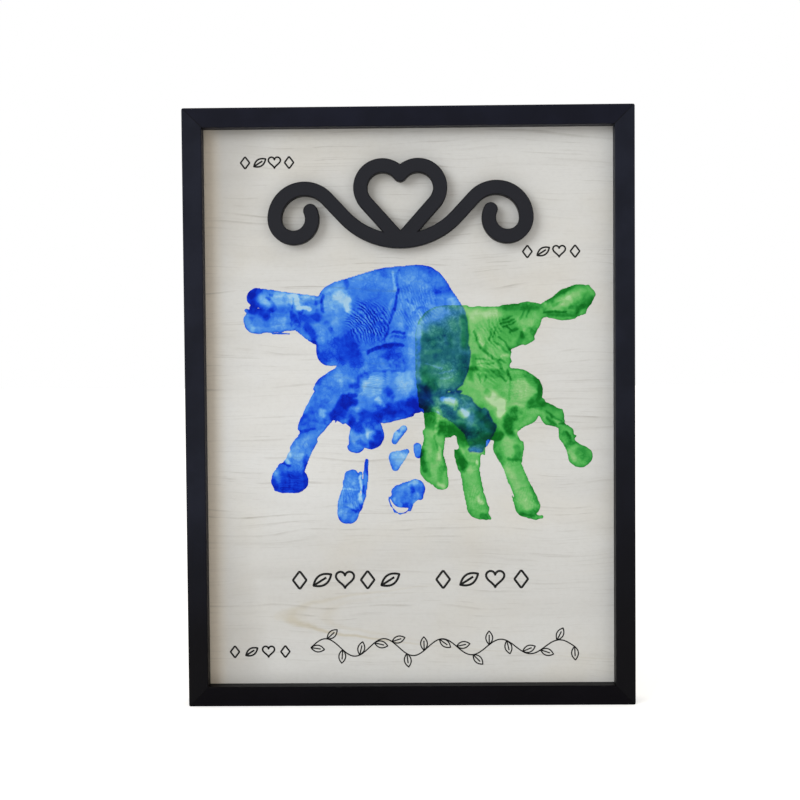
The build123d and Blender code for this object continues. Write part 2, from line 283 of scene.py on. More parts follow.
def growth_lines_group():
    """Group for broken growth lines that run along X, each crisp above and soft below."""
    sizes = {"Pitch": "Float", "Wander": "Float", "Length": "Float"}
    group, given = begin_group("Shader", "growth_lines", {"Coords": "Vector", **sizes}, {"Line": "Float"})
    coords = given["Coords"]
    place = axes(group, coords)
    slow = noise_at(group, coords, 55 * mm, detail=2, stretch=(2.2, 1, 0.9))
    slow = calc(group, "MULTIPLY", slow, given["Wander"])
    quick = noise_at(group, coords, 7 * mm, roughness=0.6, stretch=(3.5, 1, 1))
    quick = calc(group, "MULTIPLY", quick, 1.6 * mm)
    level = calc(group, "ADD", place[2], calc(group, "ADD", slow, quick))
    turns = calc(group, "DIVIDE", level, given["Pitch"])
    number = calc(group, "FLOOR", turns)
    seat, strength = (
        add_node(group, "ShaderNodeTexWhiteNoise", {"W": draw}, noise_dimensions="1D").outputs["Value"]
        for draw in (number, calc(group, "ADD", number, second_draw))
    )
    seat = calc(group, "MULTIPLY_ADD", seat, 0.4, 0.4)
    off = calc(group, "SUBTRACT", calc(group, "FRACT", turns), seat)
    above = spread(group, off, 0.0, 0.1, 1.0, 0.0)
    below = spread(group, off, -0.4, 0.0)
    runs = calc(group, "DIVIDE", place[0], given["Length"])
    along = vector(group, x=runs, z=calc(group, "MULTIPLY", number, lines_apart))
    run = add_node(group, "ShaderNodeTexNoise", {"Vector": along, "Scale": 1.0, "Detail": 2.0})
    shown = spread(group, run.outputs["Fac"], 0.42, 0.62)
    line = calc(group, "MULTIPLY", above, calc(group, "POWER", below, 2.5))
    line = calc(group, "MULTIPLY", line, shown)
    line = calc(group, "MULTIPLY", line, calc(group, "MULTIPLY", strength, strength))
    return end_group(group, line)


growth_lines = growth_lines_group()


def growth(tree, coords, pitch, wander, length):
    """Growth lines of one pitch."""
    sizes = {"Coords": coords, "Pitch": pitch, "Wander": wander, "Length": length}
    return placed(tree, growth_lines, sizes)


def grain_group():
    """Group for the panel's grain: how dark the growth lines, pores and faint mottle make it."""
    group, given = begin_group("Shader", "veneer_grain", {"Coords": "Vector"}, {"Grain": "Float"})
    coords = given["Coords"]
    stands = spread(group, noise_at(group, coords, 34 * mm, detail=2, stretch=(1.8, 1, 0.8)), 0.36, 0.6)
    lines = 0.0
    for pitch, wander, length, darkness in growth_rings:
        ring_lines = growth(group, coords, pitch * mm, wander * mm, length * mm)
        lines = calc(group, "ADD", calc(group, "MULTIPLY", ring_lines, darkness), lines)
    lines = calc(group, "MULTIPLY", lines, calc(group, "MULTIPLY_ADD", stands, 0.75, 0.25))
    pores = spread(group, noise_at(group, coords, 0.35 * mm, detail=2, stretch=(7, 1, 1)), 0.62, 0.76)
    mottle = noise_at(group, coords, 1.7 * mm, roughness=0.6, stretch=(1.5, 1, 1))
    mottle = spread(group, mottle, 0.4, 0.72)
    bands = spread(group, noise_at(group, coords, 9 * mm, roughness=0.55, stretch=(7, 1, 1)), 0.4, 0.75)
    soft = calc(group, "MULTIPLY", bands, band_darkness)
    soft = calc(group, "MULTIPLY_ADD", mottle, mottle_darkness, soft)
    fine = calc(group, "MULTIPLY_ADD", pores, pore_darkness, soft)
    return end_group(group, calc(group, "ADD", lines, fine))


veneer_grain = grain_group()


def grain_of(tree, coords):
    """Darkness of the panel's grain."""
    return placed(tree, veneer_grain, {"Coords": coords})


def off_centre(tree, place, x, z, reach_x, reach_z):
    """How far a point lies across and up from x and z, as shares of two reaches."""
    across = calc(tree, "DIVIDE", calc(tree, "SUBTRACT", place[0], x), reach_x)
    up = calc(tree, "DIVIDE", calc(tree, "SUBTRACT", place[2], z), reach_z)
    return across, up


def pointed_figure(tree, coords):
    """Warm band shaped like an arch lying on its side, where the veneer knife passed a swelling."""
    across, up = off_centre(tree, axes(tree, coords), *figure_tip, figure_reach, figure_rise)
    drift = noise_at(tree, coords, 14 * mm, roughness=0.6, stretch=(1.5, 1, 1))
    arch = calc(tree, "SUBTRACT", across, calc(tree, "MULTIPLY", up, up))
    bow = calc(tree, "MULTIPLY_ADD", calc(tree, "SUBTRACT", drift, 0.5), 0.9, arch)
    band = spread(tree, calc(tree, "ABSOLUTE", bow), 0.0, 0.3, 1.0, 0.0)
    inner = spread(tree, calc(tree, "ABSOLUTE", calc(tree, "SUBTRACT", bow, 0.75)), 0.0, 0.3, 0.35, 0.0)
    near = spread(tree, across, 1.2, 3.4, 1.0, 0.25)
    low = spread(tree, up, -0.6, 0.9, 1.0, 0.45)
    return calc(tree, "MULTIPLY", calc(tree, "MAXIMUM", band, inner), calc(tree, "MULTIPLY", near, low))


def painted_zone_share(tree, place, zones):
    """How far a point lies in any of the zones, as a share of each one's amount."""
    most = 0.0
    for x, z, reach_x, reach_z, share in zones:
        across, up = off_centre(tree, place, x * mm, z * mm, reach_x * mm, reach_z * mm)
        off = calc(tree, "MULTIPLY_ADD", across, across, calc(tree, "MULTIPLY", up, up))
        most = calc(tree, "MAXIMUM", spread(tree, off, 0.0, 1.0, share, 0.0), most)
    return most


def whitewashed_ply():
    """Whitewash over birch on the front face, with painted light and painted shade, bare birch behind."""
    material, tree, shader, coords = new_material("whitewashed_birch", Specular_IOR_Level=0.2)
    cloud = noise_at(tree, coords, 38 * mm, stretch=(1.3, 1, 1))
    wash = blend_colours(tree, spread(tree, cloud, 0.42, 0.72), wash_cool, wash_warm)
    place = axes(tree, coords)
    # Painted light in the middle left, then painted shade in the corners and along the lower end.
    wash = blend_colours(tree, painted_zone_share(tree, place, painted_light_zones), wash, painted_light_wash)
    wash = blend_colours(tree, painted_zone_share(tree, place, painted_shade_zones), wash, grain_grey)
    # Painted shadow of the left rail: a warmer tone along its edge.
    wear_and_painted_shadow = spread(tree, place[0], *painted_shadow_reach, painted_shadow_strength, 0.0)
    wash = blend_colours(tree, wear_and_painted_shadow, wash, painted_shadow_warm)
    figure = calc(tree, "MULTIPLY", pointed_figure(tree, coords), figure_strength)
    wash = blend_colours(tree, figure, wash, figure_beige)
    grain = grain_of(tree, coords)
    front = blend_colours(tree, grain, wash, grain_grey)
    birch_lines = calc(tree, "MULTIPLY_ADD", growth(tree, coords, 3 * mm, 30 * mm, 60 * mm), 0.7, cloud)
    birch = blend_colours(tree, spread(tree, birch_lines, 0.4, 1.1), bare_birch, bare_birch_dark)
    behind = spread(tree, place[1], panel_y + wash_edge, panel_y + 2 * wash_edge)
    colour = blend_colours(tree, behind, front, birch)
    rough = spread(tree, grain, 0.0, 0.6, 0.62, 0.8)
    relief = calc(tree, "SUBTRACT", 1.0, grain)
    surface(tree, shader, colour, rough, relief, depth=0.05 * mm, strength=0.6)
    return material


dress("panel", whitewashed_ply())


# Handprints. Two small painted hands were pressed on the panel, fingers down: a blue one, and a
# smaller green one partly over it. The paint is squeezed into a thicker bead along the edges and
# creases, is thin and pale where the skin pressed hardest, and keeps the ridges of the skin.
film_pitch = 0.5 * mm
film_thinnest = 0.03 * mm
film_body = 0.12 * mm
blue_film = panel_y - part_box("blue_handprint")[0].y
step_points = 9
edge_fillet = 0.7 * mm
climb_reach = 0.5 * mm
acrylic_gloss = 0.045
grain_under_paint = (0.02, 0.03, 0.05, 1)

# Amounts of paint run from 0 for a bare stain to 1 for a thick pool, and level off above thick_paint.
# A print has a base amount and more at its rim; strokes change it, broad ones with a softer edge.
# Sways, blotches and creeps are noise: the size of its lumps, its strength, its offsets from the seed.
thick_paint = 0.72
broad_stroke = 3.4
stroke_sways = ((5 * mm, 1.1 * mm, (1.3, 7.7)), (1.6 * mm, 0.4 * mm, (3.1, 9.4)))
paint_blotches = ((8 * mm, 0.08, 20), (3 * mm, 0.06, 30))
edge_creeps = ((3.4 * mm, 0.38 * mm, 0), (1.3 * mm, 0.15 * mm, 50))
blue_coat = {"base": 0.48, "rim": 0.22, "rim_width": 0.8 * mm, "gain": 1.25, "seed": 40}
green_coat = {"base": 0.38, "rim": 0.4, "rim_width": 1.3 * mm, "gain": 1.4, "seed": 90}

# The paint's fine texture: sizes of its cells and lumps, and how much each changes the amount. A torn
# cell's rim shows in patches only, and all cells are bent out of shape by the sway.
sway_size = 3.5 * mm
sway_reach = 2.6 * mm
torn_cell = 2.2 * mm
torn_patch = 12 * mm
torn_change = 0.07
facet_cell = 5.5 * mm
facet_change = 0.17
blot_size = 2.6 * mm
blot_change = 0.36
grit_size = 0.45 * mm
grit_change = 0.1

# Strokes of more or less paint, in millimetres on the panel: x, z to x, z, half width, amount.
blue_strokes = {
    "heel and outer edge of the palm": [
        (8, 224, 22, 217, 3.0, 0.1), (22, 217, 28, 200, 2.2, 0.06), (29, 197, 30, 184, 1.6, 0.04),
        (-46, 212, -33, 218, 1.2, 0.07), (-32, 218, -32, 214, 1.0, 0.11),
        (-28, 217, -16, 219, 3.0, -0.1), (-44, 213, -35, 217, 2.0, -0.15), (-3, 219, 8, 219, 3.5, -0.1),
        (-3, 208, 6, 213, 3.5, -0.08), (12, 203, 20, 207, 4.0, -0.1), (-6, 200, -3, 195, 3.0, -0.12),
        (2, 198, 6, 203, 2.0, 0.1), (14, 212, 20, 213, 2.0, 0.12), (15, 206, 18, 206, 2.2, 0.14),
        (23, 208, 25, 204, 1.8, -0.14), (3.5, 204, 4.5, 190, 3.2, -0.2), (-2, 200, -2, 193, 1.6, 0.08),
        (-35, 213, -33, 212, 1.8, -0.12), (2, 216, 8, 214, 2.6, -0.08),
    ],
    "pale pad below the thumb": [
        (-41, 206, -32, 208, 5.5, -0.2), (-37, 210, -33, 208, 2.6, -0.22),
        (-32.3, 205, -31.6, 203.5, 1.3, -0.3), (-40, 201, -36, 197, 4.6, -0.1),
        (-44, 203, -36, 199, 2.6, -0.04), (-38, 195, -36, 191, 2.4, -0.14),
        (-46, 201.5, -41, 201, 2.6, 0.14), (-42, 194, -40, 189, 2.0, -0.1),
        (-46, 194, -43, 187, 1.7, -0.08), (-44.3, 210, -44, 202, 0.9, 0.3),
        (-48, 207, -44.5, 207, 1.1, 0.25), (-43, 196, -40, 192, 1.2, 0.15),
    ],
    "hollow of the palm": [
        (-35, 189, -28, 180, 6.5, 0.26), (-27, 201, -18, 195, 6.5, 0.15),
        (-20, 205, -12, 201, 6.0, 0.13), (-31.5, 207, -30.5, 203, 1.6, -0.3),
        (-29, 199, -26, 197.5, 1.8, 0.12), (-9, 211, -9, 203, 2.4, -0.08),
        (-20, 191, -12, 187, 5.0, 0.12), (-30, 179, -27, 174, 3.2, 0.1),
        (-44, 180, -36, 177, 2.8, 0.15), (-39, 185, -36, 182, 2.0, 0.1),
        (-40, 175, -36, 173, 2.2, -0.1), (-9, 174, -4, 171.5, 1.8, 0.08), (-8, 181, -5, 175, 4.2, 0.2),
        (-15, 181, -12, 180, 3.0, 0.12), (-23, 181, -22.5, 173, 1.2, -0.11),
        (-16, 179, -13, 174.5, 2.6, -0.04), (-9.5, 178, -9, 172, 0.6, -0.07),
        (-4.5, 178, -4, 173, 0.5, -0.06), (1.2, 190, 1.2, 166, 2.0, -0.1),
    ],
    "creases of the palm": [
        (-5.2, 223, -6.3, 213, 0.75, 0.15), (-6.3, 213, -7.0, 203, 0.8, 0.32),
        (-7.0, 203, -10.3, 196, 0.9, 0.25), (-10.3, 196, -12.5, 187, 0.8, 0.2),
        (-8.4, 222, -7.4, 213, 0.8, -0.22), (-9.2, 208, -9.6, 203, 0.8, -0.12),
        (-21, 181, -15, 183, 1.1, 0.38), (-15, 183, -9, 185, 1.2, 0.45),
        (-9, 185, -3.5, 184, 0.8, 0.34), (-8, 191, -3, 190.5, 0.8, 0.3),
        (-16, 187.5, -9, 187.5, 2.0, -0.1), (-9, 188.5, -2, 189, 0.6, 0.18),
        (-24, 172, -25, 170, 1.2, -0.12), (-25, 168.5, -25.5, 165.5, 1.8, 0.22),
        (-22.5, 168, -20.5, 170, 1.6, 0.16), (-31, 166, -30.5, 163, 1.2, 0.14),
        (-18, 171.5, -3, 171, 0.8, 0.14), (-1, 207, 3, 205, 0.7, 0.18), (2, 201, 6, 204, 0.7, 0.16),
    ],
    "pads at the roots of the fingers": [
        (-25, 163, -17, 160, 4.4, -0.26), (-22, 167, -16, 166, 2.6, -0.2),
        (-17, 156.5, -15.5, 155, 1.3, -0.18), (-4, 168, -1, 161, 4.0, -0.25),
        (-11, 172, -11.5, 165, 1.3, -0.1), (-47, 166, -44, 168, 2.0, 0.12),
        (-36, 168, -31, 165, 2.8, -0.08), (-28, 163.5, -26.5, 162, 2.2, 0.3),
        (-27, 167, -27.5, 164, 1.6, 0.16), (-33, 164, -31, 163, 1.8, 0.1),
        (-12, 161, -9, 159, 2.0, 0.2), (-36, 166, -35.5, 164, 1.4, -0.1),
        (-44, 155, -41, 154, 2.0, 0.08), (-46, 148.5, -45, 147.5, 1.3, -0.06),
        (-50, 158, -50.5, 155.5, 1.6, -0.1), (-51, 160, -54.5, 151, 1.6, -0.2),
    ],
    "thick band where the paint was squeezed out": [
        (-39, 149, -34, 157, 2.2, 0.4), (-38, 148, -33, 154.5, 3.2, 0.45),
        (-33, 148, -31, 148, 1.8, 0.16), (-27, 151.5, -25.5, 151, 1.6, -0.22),
        (-34, 155.5, -28, 155.5, 1.8, 0.3), (-34, 157.5, -27, 159, 1.2, 0.34),
        (-17, 153, -14, 151, 2.4, 0.2), (-16, 148, -12, 152, 2.4, 0.15),
        (-9.5, 151.8, 4, 154.5, 3.3, 0.36), (-31, 153, -24, 154, 2.0, -0.05),
        (-30, 149, -24, 147, 2.6, 0.1), (-24, 150, -17, 147, 2.6, 0.3), (-30, 145, -26, 141, 2.4, 0.3),
        (1, 160, 4, 158.5, 2.0, 0.12), (0, 158, 1.5, 156, 1.5, 0.16), (-14, 147.5, 3, 150.3, 2.2, 0.22),
        (-13, 153, -11.5, 151.5, 1.3, -0.15), (-9, 159.5, -4, 159.5, 2.0, 0.05),
        (-52, 150, -43, 149, 3.4, 0.16), (-24, 145, -20, 143, 2.2, 0.2),
        (-45.2, 150.8, -45, 148.8, 1.5, -0.34), (-49, 146.5, -44, 145.5, 1.4, 0.12),
        (-48, 149, -46, 146, 1.1, -0.14),
    ],
    "index finger": [
        (-55, 147, -50, 142, 3.0, 0.14), (-56, 140, -49, 142, 0.7, 0.16),
        (-57, 134, -53, 136, 2.6, -0.14), (-53, 133, -52, 129, 1.6, -0.2),
        (-61, 130, -57, 128, 2.6, -0.16), (-63, 131, -61.5, 128, 1.0, -0.24),
        (-53, 131, -55, 121, 1.4, 0.1), (-67, 122, -63, 123, 2.2, 0.14),
        (-68, 115, -65.5, 113, 4.0, 0.22), (-70.5, 121, -69, 115, 2.0, -0.1),
        (-58.5, 115, -56.5, 113, 4.4, 0.36), (-62.6, 116, -62.2, 111, 0.6, 0.2),
        (-66, 119.5, -61, 117.5, 1.8, 0.14), (-61, 118, -54, 120, 1.8, 0.14),
        (-70.5, 115, -69.5, 112.5, 1.6, 0.3), (-55, 127, -53.5, 122, 1.3, 0.14),
        (-54, 119, -53, 112, 1.6, 0.3), (-70, 111, -56, 109.5, 1.4, 0.2),
        (-68, 124.5, -62, 122.5, 0.7, 0.22), (-64, 127.5, -62.8, 124.5, 1.4, -0.4),
        (-70.5, 120, -69.5, 118.5, 1.2, -0.16),
    ],
    "thumb": [
        (-77, 213, -81, 210.5, 1.9, 0.34), (-79, 210, -78.5, 206, 1.8, 0.25),
        (-83, 205, -81, 204.5, 1.0, 0.3), (-81.5, 210, -80, 203, 2.1, 0.3),
        (-80, 203, -73, 199.5, 2.0, 0.32), (-77, 204, -71, 202.5, 1.5, 0.2),
        (-74, 208.5, -60, 208.5, 3.0, -0.2), (-73.4, 209.6, -71.4, 208.6, 0.7, 0.3),
        (-72, 211.2, -70, 210.6, 0.5, 0.2), (-70, 213, -56, 211.5, 0.6, 0.12),
        (-59.6, 210.5, -59.6, 204, 0.4, 0.2), (-57.8, 209.5, -56.6, 204, 1.4, -0.3),
        (-56, 204, -51, 203, 1.1, -0.45), (-56, 210, -48, 206.5, 1.6, 0.12),
        (-59, 211, -50, 210, 1.6, -0.25), (-70, 203, -60, 203, 1.7, 0.12),
        (-60, 202, -59, 200, 1.1, 0.15), (-58, 199, -47, 198, 2.4, 0.24),
        (-52, 194, -48.5, 188, 2.3, 0.34), (-81, 199, -77, 194, 3.4, 0.1),
        (-72, 209.5, -70, 206.5, 1.0, 0.2), (-64, 197.5, -61, 197, 1.8, -0.12),
        (-84, 199, -81, 193, 1.8, -0.22), (-80, 193, -60, 194, 1.4, -0.12),
        (-75, 205.2, -69, 205.2, 1.0, 0.12), (-68, 211.5, -60, 210.5, 1.8, -0.18),
        (-60, 208, -54, 208.5, 2.4, -0.18), (-53, 208.5, -47, 207.5, 1.6, -0.12),
        (-57, 202.5, -55.5, 202, 1.2, 0.22), (-62, 196.5, -56, 195.5, 1.8, 0.1),
        (-69, 196, -65, 197, 2.4, -0.13), (-60.4, 201, -60, 194, 0.5, 0.14),
        (-49, 186, -48, 181, 1.5, 0.26), (-47, 176.5, -42, 176.3, 1.4, 0.15),
    ],
    "middle finger": [
        (-30, 140, -27, 134, 1.9, -0.1), (-25, 138, -23, 135, 1.2, -0.1),
        (-17, 139, -15.5, 135, 2.6, 0.3), (-20, 132.8, -15, 134, 1.7, 0.4),
        (-22, 139, -19.5, 140, 1.6, -0.2), (-20, 134.5, -17, 133, 1.6, 0.3),
        (-26, 134.5, -23.5, 134, 1.5, 0.2), (-20, 132, -17, 131.8, 1.2, 0.12),
        (-33, 112, -30, 100, 4.5, -0.12), (-36, 112, -37, 97, 1.4, -0.15),
        (-34, 96, -36, 98, 2.0, -0.14), (-26, 107.5, -25.3, 104, 1.2, -0.4),
        (-22.5, 141, -21.5, 137, 0.8, -0.16), (-33, 117, -30, 115, 2.4, -0.06),
        (-35, 110.6, -27, 110.4, 0.5, -0.18), (-34, 101.5, -28, 98.5, 0.6, 0.2),
        (-31, 105, -27.5, 100, 0.8, 0.1), (-23, 125, -22.5, 118, 1.0, 0.22),
        (-31, 98.5, -26, 100, 1.6, 0.2), (-25.5, 103.5, -25, 101.5, 1.1, 0.2),
        (-24, 112, -23.4, 108, 0.8, 0.32), (-25.8, 117, -25.4, 107, 0.6, -0.45),
    ],
    "ring finger": [
        (-7, 129, -4, 126, 4.0, -0.34), (-8, 138, -4, 142, 2.2, -0.3),
        (-6.5, 141.5, -5.5, 140, 1.0, 0.3), (-6, 111, -2, 111.5, 2.0, -0.1),
        (-6, 103.5, -5, 102.5, 1.4, -0.24), (0, 113, 3, 114, 1.4, -0.26),
        (0.4, 112, 1.6, 106, 1.4, 0.24), (2.5, 108, 2, 102.5, 1.4, -0.25),
        (4, 112, 5.5, 110, 1.6, 0.08), (-7, 103.5, -2, 102.5, 1.2, 0.1),
        (-8.5, 106, -8, 103, 0.8, -0.2),
    ],
    "little finger, under the green print": [
        (5, 153, 8, 160, 3.8, 0.46), (4, 166, 6.5, 164, 2.4, 0.2), (10, 163, 12, 161, 1.8, -0.15),
        (4, 129, 4.5, 127.5, 1.2, 0.12), (4, 134, 4, 130, 2.0, -0.1), (7, 197, 9, 190, 3.5, -0.02),
        (28, 202, 28.5, 185, 2.6, -0.16), (12, 192, 15, 191, 2.6, -0.12),
        (22, 196, 23, 193, 2.4, -0.14), (8, 173, 20, 173, 2.0, -0.1), (8, 167, 22, 166, 4.5, -0.15),
        (10, 188, 10, 185, 1.8, 0.08), (19.5, 188, 19.5, 185, 1.8, 0.09), (8, 181, 16, 181, 1.3, -0.12),
        (28, 179, 28.5, 176, 1.8, 0.1), (16, 151, 36, 139, 4.5, -0.1), (19, 155.5, 22, 155, 1.6, -0.2),
        (24, 157.5, 25.5, 155.5, 1.3, 0.1), (13, 156.5, 15, 152, 1.8, -0.14),
        (18, 152, 22, 148, 2.5, 0.18), (12, 151, 15, 149.5, 1.8, -0.3), (28, 158, 31, 157, 1.6, -0.14),
        (30.5, 151, 32.5, 149.5, 1.4, -0.12), (17, 158, 22, 159, 1.3, 0.1),
        (18, 155, 22, 154, 1.6, -0.2), (24, 156, 23, 151, 0.9, -0.25),
        (26.5, 150.3, 29, 148.5, 1.9, -0.4), (32, 148, 30, 143, 2.0, 0.05),
        (36, 150, 43, 141, 3.8, 0.05), (27, 141, 33, 139, 2.8, 0.2), (30, 134.5, 31, 133.5, 1.3, -0.2),
        (14, 160.5, 24, 161, 1.6, 0.08),
    ],
}
